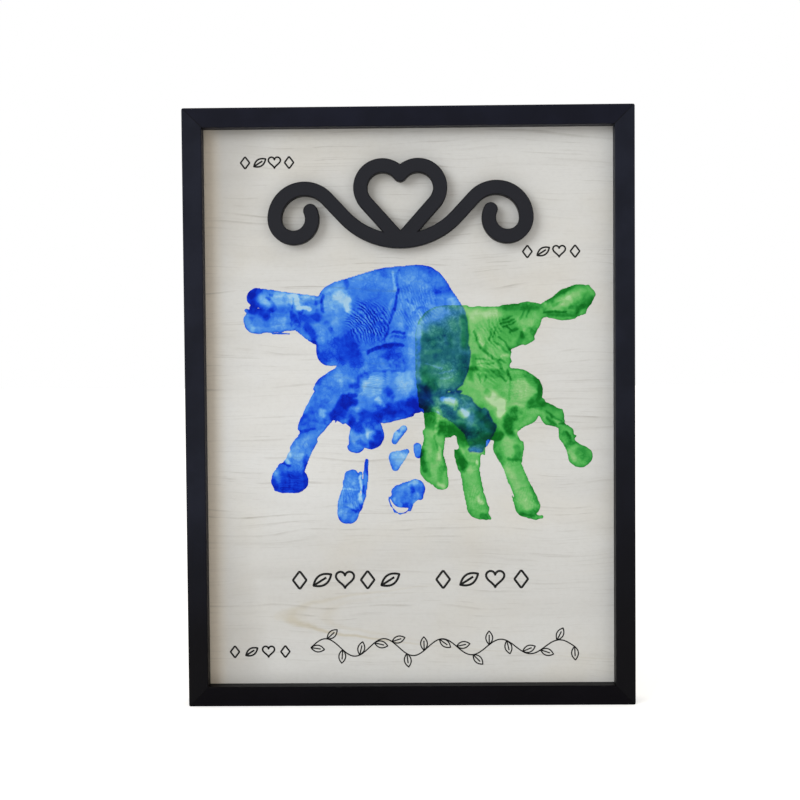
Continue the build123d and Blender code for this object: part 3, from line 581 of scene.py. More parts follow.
green_strokes = {
    "heel and pad below the thumb": [
        (33, 200, 44, 200.5, 3.6, -0.2), (43, 196, 43, 186, 3.0, 0.12), (50, 201, 60, 200.5, 3.5, 0.15),
        (49, 196, 55, 190, 3.2, 0.2), (57, 187, 62, 188, 2.0, 0.04), (59, 186, 60, 185.5, 1.4, 0.12),
        (59, 191, 61.5, 191, 1.3, -0.12), (47, 191, 51, 187, 2.0, 0.13),
        (62, 205, 69, 204.5, 1.6, -0.28), (61, 204.5, 62.5, 204, 1.2, 0.14),
        (68, 203.8, 69.5, 202.8, 1.2, 0.2), (50, 203.5, 65, 203.5, 2.3, 0.26),
        (58, 197, 63, 195, 2.5, -0.06), (47, 195, 54, 197, 0.6, 0.3), (48, 193, 55, 196, 0.5, 0.28),
        (48, 197, 53, 198.5, 0.5, 0.2), (52, 191, 55, 192, 0.9, 0.28), (50, 193.5, 54, 190.5, 0.5, 0.2),
        (57.5, 190, 58, 187.5, 0.9, 0.32), (57, 197, 58.5, 201, 0.5, 0.2),
        (60, 198, 61, 201, 0.5, 0.18), (62, 192, 56, 185.5, 1.5, 0.18), (65, 196, 63, 190, 1.2, 0.1),
    ],
    "creases of the palm": [
        (42, 192, 41, 186, 0.6, 0.24), (44, 193, 43, 188, 0.5, 0.22), (46, 188, 52, 181, 0.6, 0.28),
        (44, 186, 50, 180, 0.5, 0.2), (33, 191, 36, 183, 0.7, 0.26), (36, 183, 42, 178, 0.8, 0.3),
        (42, 178, 46, 176.5, 0.6, 0.2), (35.4, 189, 37.4, 184.5, 0.9, -0.18),
        (35, 174, 36.5, 173, 1.6, -0.14), (39, 184, 39.5, 182, 1.3, 0.16),
        (34, 177, 40, 176.5, 0.5, 0.22), (35, 174, 43, 175, 0.5, 0.2), (45, 176, 47, 172, 0.8, 0.28),
        (46.5, 176.5, 49, 174.5, 0.7, 0.25), (48, 178.5, 52, 178, 0.9, -0.2),
        (31, 172, 50, 170, 1.3, 0.22), (37, 168.3, 47, 168, 1.3, 0.16), (35, 169, 36, 165.5, 0.6, 0.22),
        (39, 169, 38.4, 166, 0.5, 0.16), (44, 170, 49, 165.5, 0.6, 0.22), (50, 171, 52, 166, 0.7, 0.26),
        (33, 178, 33, 171, 1.6, 0.22), (30.5, 171, 31.5, 167, 1.5, 0.22),
        (51.5, 168, 51, 156, 0.6, 0.12),
    ],
    "pads at the roots of the fingers": [
        (30, 166, 36, 163, 2.4, -0.08), (42, 157.5, 46.5, 152.5, 3.3, -0.3),
        (39, 160, 41, 158.5, 1.3, 0.2), (47, 155, 46.5, 149, 2.3, -0.3),
        (57, 163, 58, 159.5, 4.2, -0.14), (53, 170, 57, 170, 1.3, -0.12), (65, 168, 67, 160, 1.4, 0.34),
        (61, 168, 65.5, 162, 2.0, 0.24), (51, 168, 58, 168.5, 2.2, 0.12),
        (61.5, 153.5, 67.5, 154.3, 2.2, 0.34), (54, 153.5, 57, 152.5, 1.4, -0.14),
        (51, 150.5, 57, 149.5, 1.3, 0.14), (64.5, 152, 67.5, 151.5, 1.3, 0.18),
        (53, 150.5, 53.5, 147, 1.8, 0.3), (53, 145, 61, 149, 2.6, 0.08), (67, 158, 62, 155, 1.5, 0.32),
        (62, 152, 67, 153.5, 1.0, 0.12), (49.5, 147, 51, 140.5, 2.6, 0.46),
        (52, 152, 58, 151.5, 0.8, 0.1),
    ],
    "index finger": [
        (70, 146, 75, 142.8, 0.8, 0.26), (70, 152, 77.5, 147.5, 2.8, 0.2),
        (79, 138.5, 82, 134, 1.8, 0.22), (72, 148, 78, 145, 0.6, 0.3), (70, 150, 73, 146.5, 0.5, 0.2),
        (71, 148, 73, 142.5, 1.8, 0.16), (77, 143.6, 80, 144, 0.6, 0.3),
        (80, 139.5, 82, 136, 0.6, 0.25), (79, 137, 80, 134, 0.9, -0.12), (83, 134, 87, 134.3, 0.5, 0.1),
        (87.5, 129, 90, 126, 2.8, 0.22), (82, 129, 84, 125, 1.5, -0.16),
    ],
    "middle finger": [
        (50, 134.5, 52, 130.5, 4.0, -0.12), (48, 138.5, 54, 136.5, 1.8, 0.08),
        (50, 139, 52, 137.5, 1.4, 0.16), (54.5, 139.5, 55, 137.5, 1.2, -0.25),
        (55, 131.5, 55, 127, 2.1, 0.3), (58, 97.5, 65, 98.5, 1.6, 0.2), (44.5, 136, 46, 126, 1.6, 0.12),
        (46.5, 128, 48, 123.5, 1.4, 0.1), (50, 125.6, 57, 124.6, 0.8, 0.24),
        (52, 128, 53, 124, 0.4, 0.14), (49, 121, 54, 112, 2.8, -0.14), (56, 107, 60, 100.5, 3.6, -0.06),
        (53, 109.5, 60, 111.5, 0.5, 0.08), (62, 111, 65, 103, 0.9, 0.14),
        (57, 96.6, 63, 96.2, 0.8, 0.18),
    ],
    "ring finger": [
        (24, 128.5, 27.5, 122.5, 2.4, 0.44), (30, 121, 31, 119, 1.4, -0.1),
        (36.5, 96.2, 39, 96, 1.3, 0.3), (27, 124, 35, 123, 0.8, 0.1), (26, 123, 27.5, 119.5, 1.3, 0.16),
        (24, 130.5, 27, 129.5, 1.4, -0.12), (29, 133, 34, 129, 1.8, -0.08),
        (34, 124.6, 34.5, 123.4, 0.8, -0.34), (29, 119, 33, 105, 3.4, -0.02),
        (35.5, 119, 37, 108, 0.6, 0.02), (31, 99, 36, 97, 1.3, 0.05), (35, 106, 37, 103, 0.9, -0.22),
    ],
    "little finger": [
        (9, 148, 13, 147, 2.6, 0.32), (9, 144, 13, 142.5, 2.0, 0.25), (7, 129, 7.5, 120, 1.4, 0.2),
        (16, 121, 15, 115, 2.0, 0.15), (17, 143, 27, 142, 2.2, 0.34), (14, 150, 14.5, 146, 1.2, -0.3),
        (13, 138, 14, 130, 0.5, 0.2), (13.8, 142.5, 13.8, 140.5, 1.2, -0.35),
        (12, 136, 12, 124, 1.0, 0.08), (9, 151, 12, 150, 1.6, 0.16), (9, 134, 9, 129.5, 1.4, -0.06),
        (6, 130, 7, 120, 1.1, 0.28), (9, 123, 9, 117.5, 1.4, 0.2), (16.5, 130, 18, 120, 0.8, 0.14),
        (15, 131, 15, 126, 1.2, -0.2), (14, 113, 17, 111.5, 1.3, -0.24),
    ],
    "thumb": [
        (79, 205.5, 86, 208.8, 2.1, -0.17), (69, 201, 80, 200.6, 0.6, 0.3),
        (70, 206, 82, 212.5, 2.2, 0.15), (80, 203, 88, 208, 2.5, 0.15), (72, 200, 86, 199.5, 1.4, 0.2),
        (71, 199, 84, 198.6, 0.9, 0.14), (86, 201, 93, 207, 1.7, 0.27), (74, 208, 84, 213.5, 1.1, 0.1),
        (81, 209.5, 82, 206.5, 1.6, -0.12), (73, 209.5, 80, 212, 1.6, 0.12),
        (82.5, 203, 85, 203, 1.1, 0.18), (88, 202.5, 90, 203.5, 1.1, 0.2), (85, 206, 88, 203, 1.6, 0.1),
        (83, 201.2, 86, 201.5, 1.2, 0.08), (78, 204, 81.5, 204, 1.0, -0.12),
        (85, 213.5, 89, 213.5, 1.2, 0.08), (89, 206, 91, 209, 1.6, 0.12),
        (74, 204, 78, 205.6, 0.6, 0.12),
    ],
    "where it lies over the blue print": [
        (4, 202, 14, 201, 6.5, -0.28), (16, 202, 25, 202, 4.5, -0.14), (4, 196, 6, 193, 5.0, -0.18),
        (3.8, 193, 4.2, 166, 1.8, -0.32), (28.5, 198, 29, 184, 2.0, 0.26),
        (28, 177, 26.5, 167, 2.4, 0.18), (9, 188, 12, 185.5, 2.8, 0.12), (20, 189, 21, 184, 1.4, 0.12),
        (7.5, 170, 9, 163, 3.6, 0.24), (13, 167, 13, 163, 2.0, 0.13), (7.5, 154, 9.5, 151.5, 2.4, 0.2),
        (18.5, 155.5, 23, 155.5, 1.6, -0.12), (22, 146.5, 26, 146, 1.6, 0.1),
        (31, 152, 34, 149.5, 2.0, -0.08), (31, 146.5, 31, 141, 2.0, -0.08),
        (28, 143, 28.5, 142, 1.6, -0.16), (40, 144, 43.5, 142, 2.0, 0.16), (17, 172, 19, 166, 3.8, 0.0),
        (8, 174.6, 16, 172.4, 0.5, -0.16), (15, 170, 22, 171, 0.5, -0.14),
        (16, 167, 22, 168, 0.5, -0.14), (36, 150, 44, 141, 3.6, 0.2), (28, 141, 36, 138, 3.6, 0.34),
        (32, 148, 30, 143, 2.2, -0.04), (27, 150.3, 29, 148.5, 1.9, -0.26),
        (17, 156.6, 22, 156, 1.2, -0.24), (32, 130, 36, 129, 1.4, -0.1), (15, 141, 24, 140.5, 2.0, 0.4),
        (15.5, 139, 20, 138.5, 1.4, 0.3), (23, 140, 28, 133.5, 2.2, 0.3),
        (25.5, 140, 28, 136.5, 1.6, 0.45), (35, 149, 37, 146.5, 1.6, 0.2),
        (31, 134, 37, 134.5, 2.2, 0.4), (40, 136.5, 46, 137.5, 2.0, 0.4),
    ],
}
# Places where a print's edge runs out further than its outline, or stops short of it, in millimetres
# on the panel: a half width, then the points of a line.
blue_runs = [
    (0.28, (-11.3, 108.6), (-11, 104.9), (-9.9, 101.6), (-8, 98.9), (-5.4, 97.6), (-2.7, 98.2),
     (-0.6, 99.9)),
    (1.75, (-13, 146.1), (1.5, 149.4)),
    (1.7, (28.8, 181), (28.6, 172), (25.8, 165), (22, 161.5)),
    (1.8, (5.5, 109), (4.9, 106.4)),
    (0.9, (0.6, 102.2), (-0.4, 99.8)),
    (1.4, (31, 130.6), (36.5, 130.4)),
    (0.9, (-25.6, 118.5), (-25.5, 111)),
    (0.35, (-70, 190.9), (-61.5, 190.6)),
    (0.7, (-57, 143.6), (-56.8, 141.8)),
    (1.0, (-83.4, 202.6), (-82, 202)),
    (0.9, (-54, 118), (-54, 113.5), (-56, 111.2)),
    (0.5, (-69.5, 110.4), (-65, 109.5)),
    (0.8, (22, 160.6), (26, 160.4)),
    (1.0, (-81, 204.3), (-79, 204.6)),
]
blue_gaps = [
    (0.7, (31, 193), (31.1, 184)),
    (2.2, (41.5, 153), (44.8, 146)),
    (1.3, (33.5, 156), (37, 152.8)),
    (1.6, (-42, 172.6), (-47.5, 169.6)),
    (1.2, (-56, 150.5), (-57.8, 146.4)),
    (0.8, (-36, 121.2), (-35, 116)),
    (1.0, (-11.3, 110.8), (-10.7, 107.8)),
    (0.8, (-47, 136.2), (-39, 145.3)),
    (0.8, (-33.3, 143.6), (-31.6, 142), (-32.4, 134)),
    (0.8, (3, 148.5), (6, 149.3)),
    (1.0, (-50, 161), (-53.5, 155), (-56.5, 149)),
    (1.6, (-63.2, 131), (-66.5, 125.5)),
]
green_runs = [
    (1.3, (72, 198.9), (78, 197.7), (84, 198.2)),
    (1.6, (66.4, 198.9), (69, 199.5)),
    (1.4, (91.4, 213), (94, 209.6)),
    (1.7, (24.4, 128), (26, 121)),
    (1.9, (15.8, 139), (21, 138.7)),
    (1.4, (35.6, 96.4), (39, 95.4)),
    (1.0, (61, 95.8), (64.5, 95.1)),
    (0.9, (62.5, 97.2), (65.4, 95.4), (67.4, 95.6)),
    (0.8, (38.8, 97.6), (40.8, 95)),
    (2.6, (38, 139), (43, 137.5)),
]
green_gaps = [
    (1.5, (31, 205.3), (46, 205.3)),
    (1.2, (66.4, 183.4), (62.4, 181.8)),
    (1.4, (22.5, 136.4), (23.6, 132)),
    (1.2, (37.2, 127), (38.7, 109)),
    (0.7, (38.7, 109), (40.4, 102)),
    (1.9, (5.2, 150), (5.8, 142.5)),
    (1.2, (67.6, 193), (65.2, 188)),
    (1.2, (53, 181.2), (58.5, 183)),
    (0.8, (84.8, 141.5), (85, 138.5)),
    (1.3, (95, 205.5), (91.5, 200.3)),
    (1.5, (86, 135.5), (93.8, 131)),
    (1.2, (52.5, 173.6), (60, 172.2), (66, 168)),
    (1.2, (70.5, 155.6), (77.5, 152.2)),
    (1.5, (56.5, 138.8), (57.7, 136)),
    (0.5, (50.6, 112), (53, 106)),
    (0.7, (63.4, 112), (67, 103)),
]
# Skin ridges: centre of the patch, its radius, the point that the ridges bend round, their pitch
# and how strongly they show, in millimetres on the panel. The ridges drift off their circles.
ridge_drift = 5 * mm
blue_ridges = [
    ((-21, 197), 14.0, (-38, 184), 1.45, 0.34),
    ((-17, 166), 8.0, (-17, 120), 1.3, 0.07),
    ((3, 204), 15.0, (40, 220), 1.5, 0.1),
    ((-31, 106), 9.0, (-60, 100), 1.3, 0.07),
    ((-62, 114), 8.0, (-62, 100), 1.2, 0.06),
]
green_ridges = [
    ((44, 190), 12.0, (66, 204), 1.9, 0.12),
    ((42, 172), 11.0, (60, 192), 2.0, 0.13),
    ((58, 162), 9.0, (58, 120), 1.3, 0.06),
    ((34, 106), 9.0, (60, 100), 1.3, 0.05),
    ((59, 106), 9.0, (90, 100), 1.3, 0.05),
]


def film_outline(node):
    """Straight steps of a film's outline, each two x, z points, read off the film's front face."""
    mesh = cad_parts[node].data
    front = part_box(node)[0].y + film_thinnest
    uses = {}
    for polygon in mesh.polygons:
        corners = [mesh.vertices[i].co for i in polygon.vertices]
        if max(corner.y for corner in corners) < front:
            flat = [(round(corner.x, 6), round(corner.z, 6)) for corner in corners]
            for step in zip(flat, flat[1:] + flat[:1]):
                key = tuple(sorted(step))
                uses[key] = uses.get(key, 0) + 1
    return np.array([key for key, count in uses.items() if count == 1])


def lattice_noise(points, size, seed):
    """Smooth noise from -1 to 1 at each x, z point, with lumps about the given size."""
    return np.array([noise.noise(Vector((x / size, seed, z / size))) for x, z in points])


def depth_inside(points, steps):
    """Distance from each x, z point to an outline, positive inside it."""
    shares = np.linspace(0, 1, step_points)
    ends = np.concatenate([steps[:, 0] * (1 - share) + steps[:, 1] * share for share in shares])
    tree = kdtree.KDTree(len(ends))
    for index, (x, z) in enumerate(ends):
        tree.insert((x, 0, z), index)
    tree.balance()
    far = np.array([tree.find((x, 0, z))[2] for x, z in points])
    inside = np.zeros(len(points), bool)
    rows, row_of = np.unique(points[:, 1], return_inverse=True)
    low = np.minimum(steps[:, 0, 1], steps[:, 1, 1])
    high = np.maximum(steps[:, 0, 1], steps[:, 1, 1])
    order = np.argsort(row_of, kind="stable")
    bounds = np.searchsorted(row_of[order], np.arange(len(rows) + 1))
    for row, z in enumerate(rows):
        hit = steps[(low <= z) & (z < high)]
        share = (z - hit[:, 0, 1]) / (hit[:, 1, 1] - hit[:, 0, 1])
        crossings = np.sort(hit[:, 0, 0] + share * (hit[:, 1, 0] - hit[:, 0, 0]))
        members = order[bounds[row]:bounds[row + 1]]
        inside[members] = np.searchsorted(crossings, points[members, 0]) % 2 == 1
    return np.where(inside, far, -far)


def off_stroke(points, x1, z1, x2, z2):
    """Distance from each x, z point to a stroke's middle line, whose ends are in millimetres."""
    start = np.array((x1, z1)) * mm
    run = np.array((x2 - x1, z2 - z1)) * mm
    along = np.clip((points - start) @ run / (run @ run), 0, 1)
    return np.linalg.norm(points - start - along[:, None] * run, axis=1)


def paint_amount(points, depth, strokes, base, rim, rim_width, gain, seed):
    """How much paint lies at each x, z point, from 0 for a bare stain to 1 for a thick pool."""
    moved = points
    for size, reach, offsets in stroke_sways:
        sway = np.stack([lattice_noise(points, size, seed + offset) for offset in offsets], axis=1)
        moved = moved + reach * sway
    amount = base + rim * np.exp(-np.maximum(depth, 0) / rim_width)
    for size, strength, offset in paint_blotches:
        amount += strength * lattice_noise(points, size, seed + offset)
    for group in strokes.values():
        for x1, z1, x2, z2, width, change in group:
            off = off_stroke(moved, x1, z1, x2, z2) / (width * mm)
            amount += gain * change * np.exp(-off ** (4 if width < broad_stroke else 2))
    headroom = 1 - thick_paint
    levelled = thick_paint + headroom * (1 - np.exp(-(amount - thick_paint) / headroom))
    return np.where(amount > thick_paint, levelled, amount)


def trimmed_squares(shape, inside):
    """Grid squares cut off where inside crosses zero, as rings of numbers, and each cut's two points."""
    columns, rows = shape
    grid = np.arange(columns * rows).reshape(columns, rows)
    wet = inside > 0
    rings, cuts = [], {}
    for i in range(columns - 1):
        for j in range(rows - 1):
            square = (grid[i, j], grid[i + 1, j], grid[i + 1, j + 1], grid[i, j + 1])
            if any(wet[k] for k in square):
                ring = []
                for a, b in zip(square, square[1:] + square[:1]):
                    if wet[a]:
                        ring.append(a)
                    if wet[a] != wet[b]:
                        ring.append(cuts.setdefault((min(a, b), max(a, b)), len(cuts) + grid.size))
                rings.append(ring)
    return rings, np.array(list(cuts), int).reshape(-1, 2)


def film_mesh(name, points, shape, inside, front, back, values):
    """Closed skin of a paint film over the part of a regular grid where inside is above zero."""
    rings, pairs = trimmed_squares(shape, inside)
    share = (inside[pairs[:, 0]] / (inside[pairs[:, 0]] - inside[pairs[:, 1]]))[:, None]

    def with_cuts(field):
        field = field.reshape(len(points), -1)
        return np.concatenate([field, field[pairs[:, 0]] * (1 - share) + field[pairs[:, 1]] * share])

    places = with_cuts(points)
    heights = with_cuts(front)[:, 0]
    heights[len(points):] = with_cuts(back)[len(points):, 0] + film_thinnest
    used = np.unique(np.concatenate([np.array(ring) for ring in rings]))
    renumber = np.full(len(places), -1)
    renumber[used] = np.arange(len(used))
    count = len(used)
    skins = [
        np.stack([places[used, 0], panel_y - level[used], places[used, 1]], axis=1)
        for level in (heights, with_cuts(back)[:, 0])
    ]
    faces = [[renumber[k] for k in ring] for ring in rings]
    edges = dict.fromkeys(edge for face in faces for edge in zip(face, face[1:] + face[:1]))
    walls = [(b, a, a + count, b + count) for a, b in edges if (b, a) not in edges]
    backs = [[k + count for k in reversed(face)] for face in faces]
    mesh = bpy.data.meshes.new(name)
    mesh.from_pydata(np.concatenate(skins).tolist(), [], faces + backs + walls)
    for label, field in values.items():
        spread_field = with_cuts(field)[used, 0]
        layer = mesh.attributes.new(label, "FLOAT", "POINT")
        layer.data.foreach_set("value", np.concatenate([spread_field, spread_field]).astype(np.float32))
    mesh.shade_smooth()
    mesh.update()
    piece = bpy.data.objects.new(name, mesh)
    bpy.context.scene.collection.objects.link(piece)
    return piece


def film_grid(node):
    """Regular x, z points over a film's box with a small margin, and the grid's shape."""
    low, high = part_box(node)
    margin = 3 * film_pitch
    xs = np.arange(low.x - margin, high.x + margin, film_pitch)
    zs = np.arange(low.z - margin, high.z + margin, film_pitch)
    return np.stack(np.meshgrid(xs, zs, indexing="ij"), axis=-1).reshape(-1, 2), (len(xs), len(zs))


def joined(first, second):
    """The larger of two depths, with a fillet where they meet."""
    share = np.clip(0.5 + (first - second) / (2 * edge_fillet), 0, 1)
    return second + (first - second) * share + edge_fillet * share * (1 - share)


def crept(points, depth, runs, gaps, seed):
    """Depth inside an outline after the paint has run out or stopped short, and crept unevenly."""
    for width, *line in runs:
        for start, end in zip(line, line[1:]):
            depth = joined(depth, width * mm - off_stroke(points, *start, *end))
    for width, *line in gaps:
        for start, end in zip(line, line[1:]):
            depth = -joined(-depth, width * mm - off_stroke(points, *start, *end))
    for size, reach, offset in edge_creeps:
        depth = depth + reach * lattice_noise(points, size, seed + offset)
    return depth


def ease(value, low, high):
    """Smooth step from 0 at low to 1 at high."""
    share = np.clip((value - low) / (high - low), 0, 1)
    return share * share * (3 - 2 * share)


blue_steps = film_outline("blue_handprint")
green_steps = film_outline("green_handprint")


def blue_paint_at(points):
    """Blue paint's depth inside its outline and its amount at each x, z point."""
    depth = crept(points, depth_inside(points, blue_steps), blue_runs, blue_gaps, seed=11)
    return depth, paint_amount(points, depth, blue_strokes, **blue_coat)


def tint_group(name, stops):
    """Group that turns an amount of paint into its colour."""
    group, given = begin_group("Shader", name, {"Amount": "Float"}, {"Colour": "Color"})
    ramp = add_node(group, "ShaderNodeValToRGB", {"Fac": given["Amount"]})
    table = ramp.color_ramp.elements
    while len(table) < len(stops):
        table.new(0.5)
    for element, (place, colour) in zip(table, stops):
        element.position = place
        element.color = colour + (1,)
    return end_group(group, ramp.outputs["Color"])


def texture_group():
    """Group that adds the paint's fine texture to an amount: torn cells, pressed facets and grit."""
    sockets = {"Amount": "Float", "Strength": "Float", "Coords": "Vector"}
    group, given = begin_group("Shader", "pressed_paint_texture", sockets, {"Amount": "Float"})
    coords = given["Coords"]
    sway = add_node(group, "ShaderNodeTexNoise", {"Vector": coords, "Scale": 1 / sway_size, "Detail": 3.0})
    reach = {0: sway.outputs["Color"], 1: (sway_reach,) * 3}
    shift = add_node(group, "ShaderNodeVectorMath", reach, operation="MULTIPLY")
    moved = add_node(group, "ShaderNodeVectorMath", {0: coords, 1: shift.outputs[0]}, operation="ADD")
    swayed = moved.outputs[0]
    cells = {"Vector": swayed, "Scale": 1 / torn_cell}
    torn = add_node(group, "ShaderNodeTexVoronoi", cells, feature="DISTANCE_TO_EDGE")
    vein = spread(group, torn.outputs["Distance"], 0.0, 0.2, 1.0, 0.0)
    pressed_cells = {"Vector": swayed, "Scale": 1 / facet_cell, "Smoothness": 0.25}
    facets = add_node(group, "ShaderNodeTexVoronoi", pressed_cells, feature="SMOOTH_F1")
    facet = axes(group, facets.outputs["Color"])[0]
    patchy = spread(group, noise_at(group, coords, torn_patch, detail=2), 0.42, 0.6)
    blot = noise_at(group, swayed, blot_size, detail=4, roughness=0.55)
    grit = noise_at(group, coords, grit_size, detail=2)
    change = calc(group, "MULTIPLY", vein, calc(group, "MULTIPLY_ADD", patchy, torn_change, 0.01))
    for lump, share in ((facet, facet_change), (blot, blot_change), (grit, grit_change)):
        change = calc(group, "MULTIPLY_ADD", calc(group, "SUBTRACT", lump, 0.5), share, change)
    return end_group(group, calc(group, "MULTIPLY_ADD", change, given["Strength"], given["Amount"]))


def ridge_group():
    """Group for a patch of skin ridges: lines at a pitch round a point, faded out at the patch's rim."""
    sockets = {label: "Vector" for label in ("Coords", "Centre", "Bend")}
    sockets.update({label: "Float" for label in ("Radius", "Pitch", "Strength")})
    group, given = begin_group("Shader", "skin_ridges", sockets, {"Change": "Float"})
    coords = given["Coords"]
    from_centre, from_bend = (
        add_node(group, "ShaderNodeVectorMath", {0: coords, 1: given[label]}, operation="DISTANCE")
        for label in ("Centre", "Bend")
    )
    drift = calc(group, "MULTIPLY", noise_at(group, coords, 7 * mm, roughness=0.6), ridge_drift)
    bent = calc(group, "ADD", from_bend.outputs["Value"], drift)
    turns = calc(group, "DIVIDE", bent, given["Pitch"])
    wave = calc(group, "SINE", calc(group, "MULTIPLY", turns, 2 * math.pi))
    share = calc(group, "DIVIDE", from_centre.outputs["Value"], given["Radius"])
    inside = spread(group, share, 0.45, 1.0, 1.0, 0.0)
    broken = spread(group, noise_at(group, coords, 3 * mm, roughness=0.6), 0.35, 0.6)
    shown = calc(group, "MULTIPLY", calc(group, "MULTIPLY", inside, broken), given["Strength"])
    return end_group(group, calc(group, "MULTIPLY", wave, shown))


blue_tint = tint_group(
    "blue_paint_tint",
    [
        (0.0, (0.38, 0.62, 0.85)),
        (0.2, (0.18, 0.45, 0.86)),
        (0.4, (0.068, 0.262, 0.81)),
        (0.55, (0.032, 0.178, 0.775)),
        (0.75, (0.005, 0.062, 0.7)),
        (0.9, (0.001, 0.026, 0.56)),
        (1.0, (0.001, 0.012, 0.4)),
    ],
)
green_tint = tint_group(
    "green_paint_tint",
    [
        (0.0, (0.45, 0.67, 0.38)),
        (0.2, (0.26, 0.56, 0.21)),
        (0.4, (0.14, 0.49, 0.135)),
        (0.55, (0.075, 0.42, 0.085)),
        (0.75, (0.028, 0.29, 0.047)),
        (0.9, (0.008, 0.19, 0.02)),
        (1.0, (0.003, 0.13, 0.012)),
    ],
)
green_veil = tint_group(
    "green_paint_veil",
    [
        (0.0, (1.0, 1.0, 0.85)),
        (0.2, (0.75, 0.92, 0.44)),
        (0.4, (0.4, 0.74, 0.23)),
        (0.6, (0.16, 0.56, 0.15)),
        (0.8, (0.06, 0.42, 0.075)),
        (1.0, (0.03, 0.3, 0.035)),
    ],
)
pressed = texture_group()
ridged = ridge_group()


def attribute(tree, name):
    """Value of a mesh attribute."""
    return add_node(tree, "ShaderNodeAttribute", attribute_name=name).outputs["Fac"]


def textured(tree, coords, amount, strength, ridges):
    """Amount of paint after its fine texture and its skin ridges."""
    amount = placed(tree, pressed, {"Coords": coords, "Amount": amount, "Strength": strength})
    for centre, radius, bend, pitch, shown in ridges:
        patch = {
            "Coords": coords,
            "Centre": (centre[0] * mm, panel_y, centre[1] * mm),
            "Bend": (bend[0] * mm, panel_y, bend[1] * mm),
            "Radius": radius * mm,
            "Pitch": pitch * mm,
            "Strength": shown,
        }
        amount = calc(tree, "ADD", amount, placed(tree, ridged, patch))
    return amount


def tinted(tree, group, amount):
    """Colour of an amount of paint."""
    return placed(tree, group, {"Amount": amount})


def over_grain(tree, coords, amount, colour):
    """Paint's colour darkened a little where the panel's grain shows through thin paint."""
    through = calc(tree, "MULTIPLY", grain_of(tree, coords), spread(tree, amount, 0.1, 0.7, 0.7, 0.15))
    return blend_colours(tree, through, colour, grain_under_paint)


def dried(tree, shader, coords, amount, colour):
    """Finish of dried acrylic: the grain shows through it where it is thin, thicker paint is glossier."""
    rough = spread(tree, amount, 0.1, 0.9, 0.6, 0.42)
    colour = over_grain(tree, coords, amount, colour)
    surface(tree, shader, colour, rough, amount, depth=0.1 * mm, strength=0.5)


def blue_paint():
    """Dried blue acrylic on the whitewash."""
    material, tree, shader, coords = new_material("blue_acrylic", Specular_IOR_Level=acrylic_gloss)
    amount = textured(tree, coords, attribute(tree, "amount"), 1.0, blue_ridges)
    dried(tree, shader, coords, amount, tinted(tree, blue_tint, amount))
    return material


def green_paint():
    """Dried green acrylic; over the blue print it lies as a veil that the blue shows through."""
    material, tree, shader, coords = new_material("green_acrylic", Specular_IOR_Level=acrylic_gloss)
    amount = textured(tree, coords, attribute(tree, "amount"), 0.9, green_ridges)
    under = textured(tree, coords, attribute(tree, "under_amount"), 1.0, blue_ridges)
    veil = tinted(tree, green_veil, amount)
    both = blend_colours(tree, 1.0, tinted(tree, blue_tint, under), veil, "MULTIPLY")
    plain = tinted(tree, green_tint, amount)
    dried(tree, shader, coords, amount, blend_colours(tree, attribute(tree, "under"), plain, both))
    return material


points, shape = film_grid("blue_handprint")
depth, amount = blue_paint_at(points)
level = film_thinnest + film_body * np.clip(amount, 0, 1)
on_panel = np.zeros(len(points))
blue_print = film_mesh("blue_handprint_paint", points, shape, depth, level, on_panel, {"amount": amount})
blue_print.data.materials.append(blue_paint())
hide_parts("blue_handprint")
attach(blue_print, "root")

points, shape = film_grid("green_handprint")
depth = crept(points, depth_inside(points, green_steps), green_runs, green_gaps, seed=71)
amount = paint_amount(points, depth, green_strokes, **green_coat)
blue_depth, blue_amount = blue_paint_at(points)
lift = blue_film * ease(blue_depth, -climb_reach, climb_reach)
level = lift + film_thinnest + film_body * np.clip(amount, 0, 1)
fields = {
    "amount": amount,
    "under": ease(blue_depth, -climb_reach / 2, climb_reach / 2),
    "under_amount": blue_amount,
}
green_print = film_mesh("green_handprint_paint", points, shape, depth, level, lift, fields)
green_print.data.materials.append(green_paint())
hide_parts("green_handprint")
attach(green_print, "root")


# Raised ornament. A heart between two scrolls, cut by laser from 6 mm board, sprayed matt black and
# glued to the panel. Its front edges are slightly broken and its cut walls carry painted shade.
board_black = (0.009, 0.0095, 0.0135, 1)
board_black_pale = (0.014, 0.0148, 0.02, 1)
board_dust = (0.09, 0.09, 0.09, 1)
cut_wall_painted_shade = (0.003, 0.003, 0.0035, 1)


def ornament_paint():
    """Matt black spray with a fine orange peel, and painted shade on the cut walls."""
    material, tree, shader, coords = new_material("matt_black_board", Specular_IOR_Level=0.14)
    face = spread(tree, calc(tree, "MULTIPLY", facing(tree)[1], -1.0), 0.5, 0.95)
    cloud = noise_at(tree, coords, 14 * mm)
    peel = noise_at(tree, coords, 0.6 * mm, roughness=0.6)
    dust = spread(tree, noise_at(tree, coords, 0.5 * mm, detail=2), 0.7, 0.78)
    tone = blend_colours(tree, cloud, board_black, board_black_pale)
    tone = blend_colours(tree, calc(tree, "MULTIPLY", dust, 0.25), tone, board_dust)
    # Painted shade: the cut walls are darker than the front face.
    tone = blend_colours(tree, face, cut_wall_painted_shade, tone)
    rough = calc(tree, "MULTIPLY_ADD", cloud, 0.12, 0.5)
    surface(tree, shader, tone, rough, peel, depth=0.05 * mm, strength=0.5)
    return material


dress("raised_ornament", ornament_paint())


# Printed marks. Rows of small outlined hearts, leaves and diamonds, and a thin waving stem with leaves
# under them, screen printed on the whitewash in matt black ink.
ink_proud = 0.05 * mm
ink_black = (0.012, 0.013, 0.013, 1)
ink_black_thin = (0.06, 0.06, 0.058, 1)
ring_steps = 40
stem_steps = 160
leaf_slimness = 0.5
leaf_turn = math.radians(52)
leaf_lean = math.radians(32)

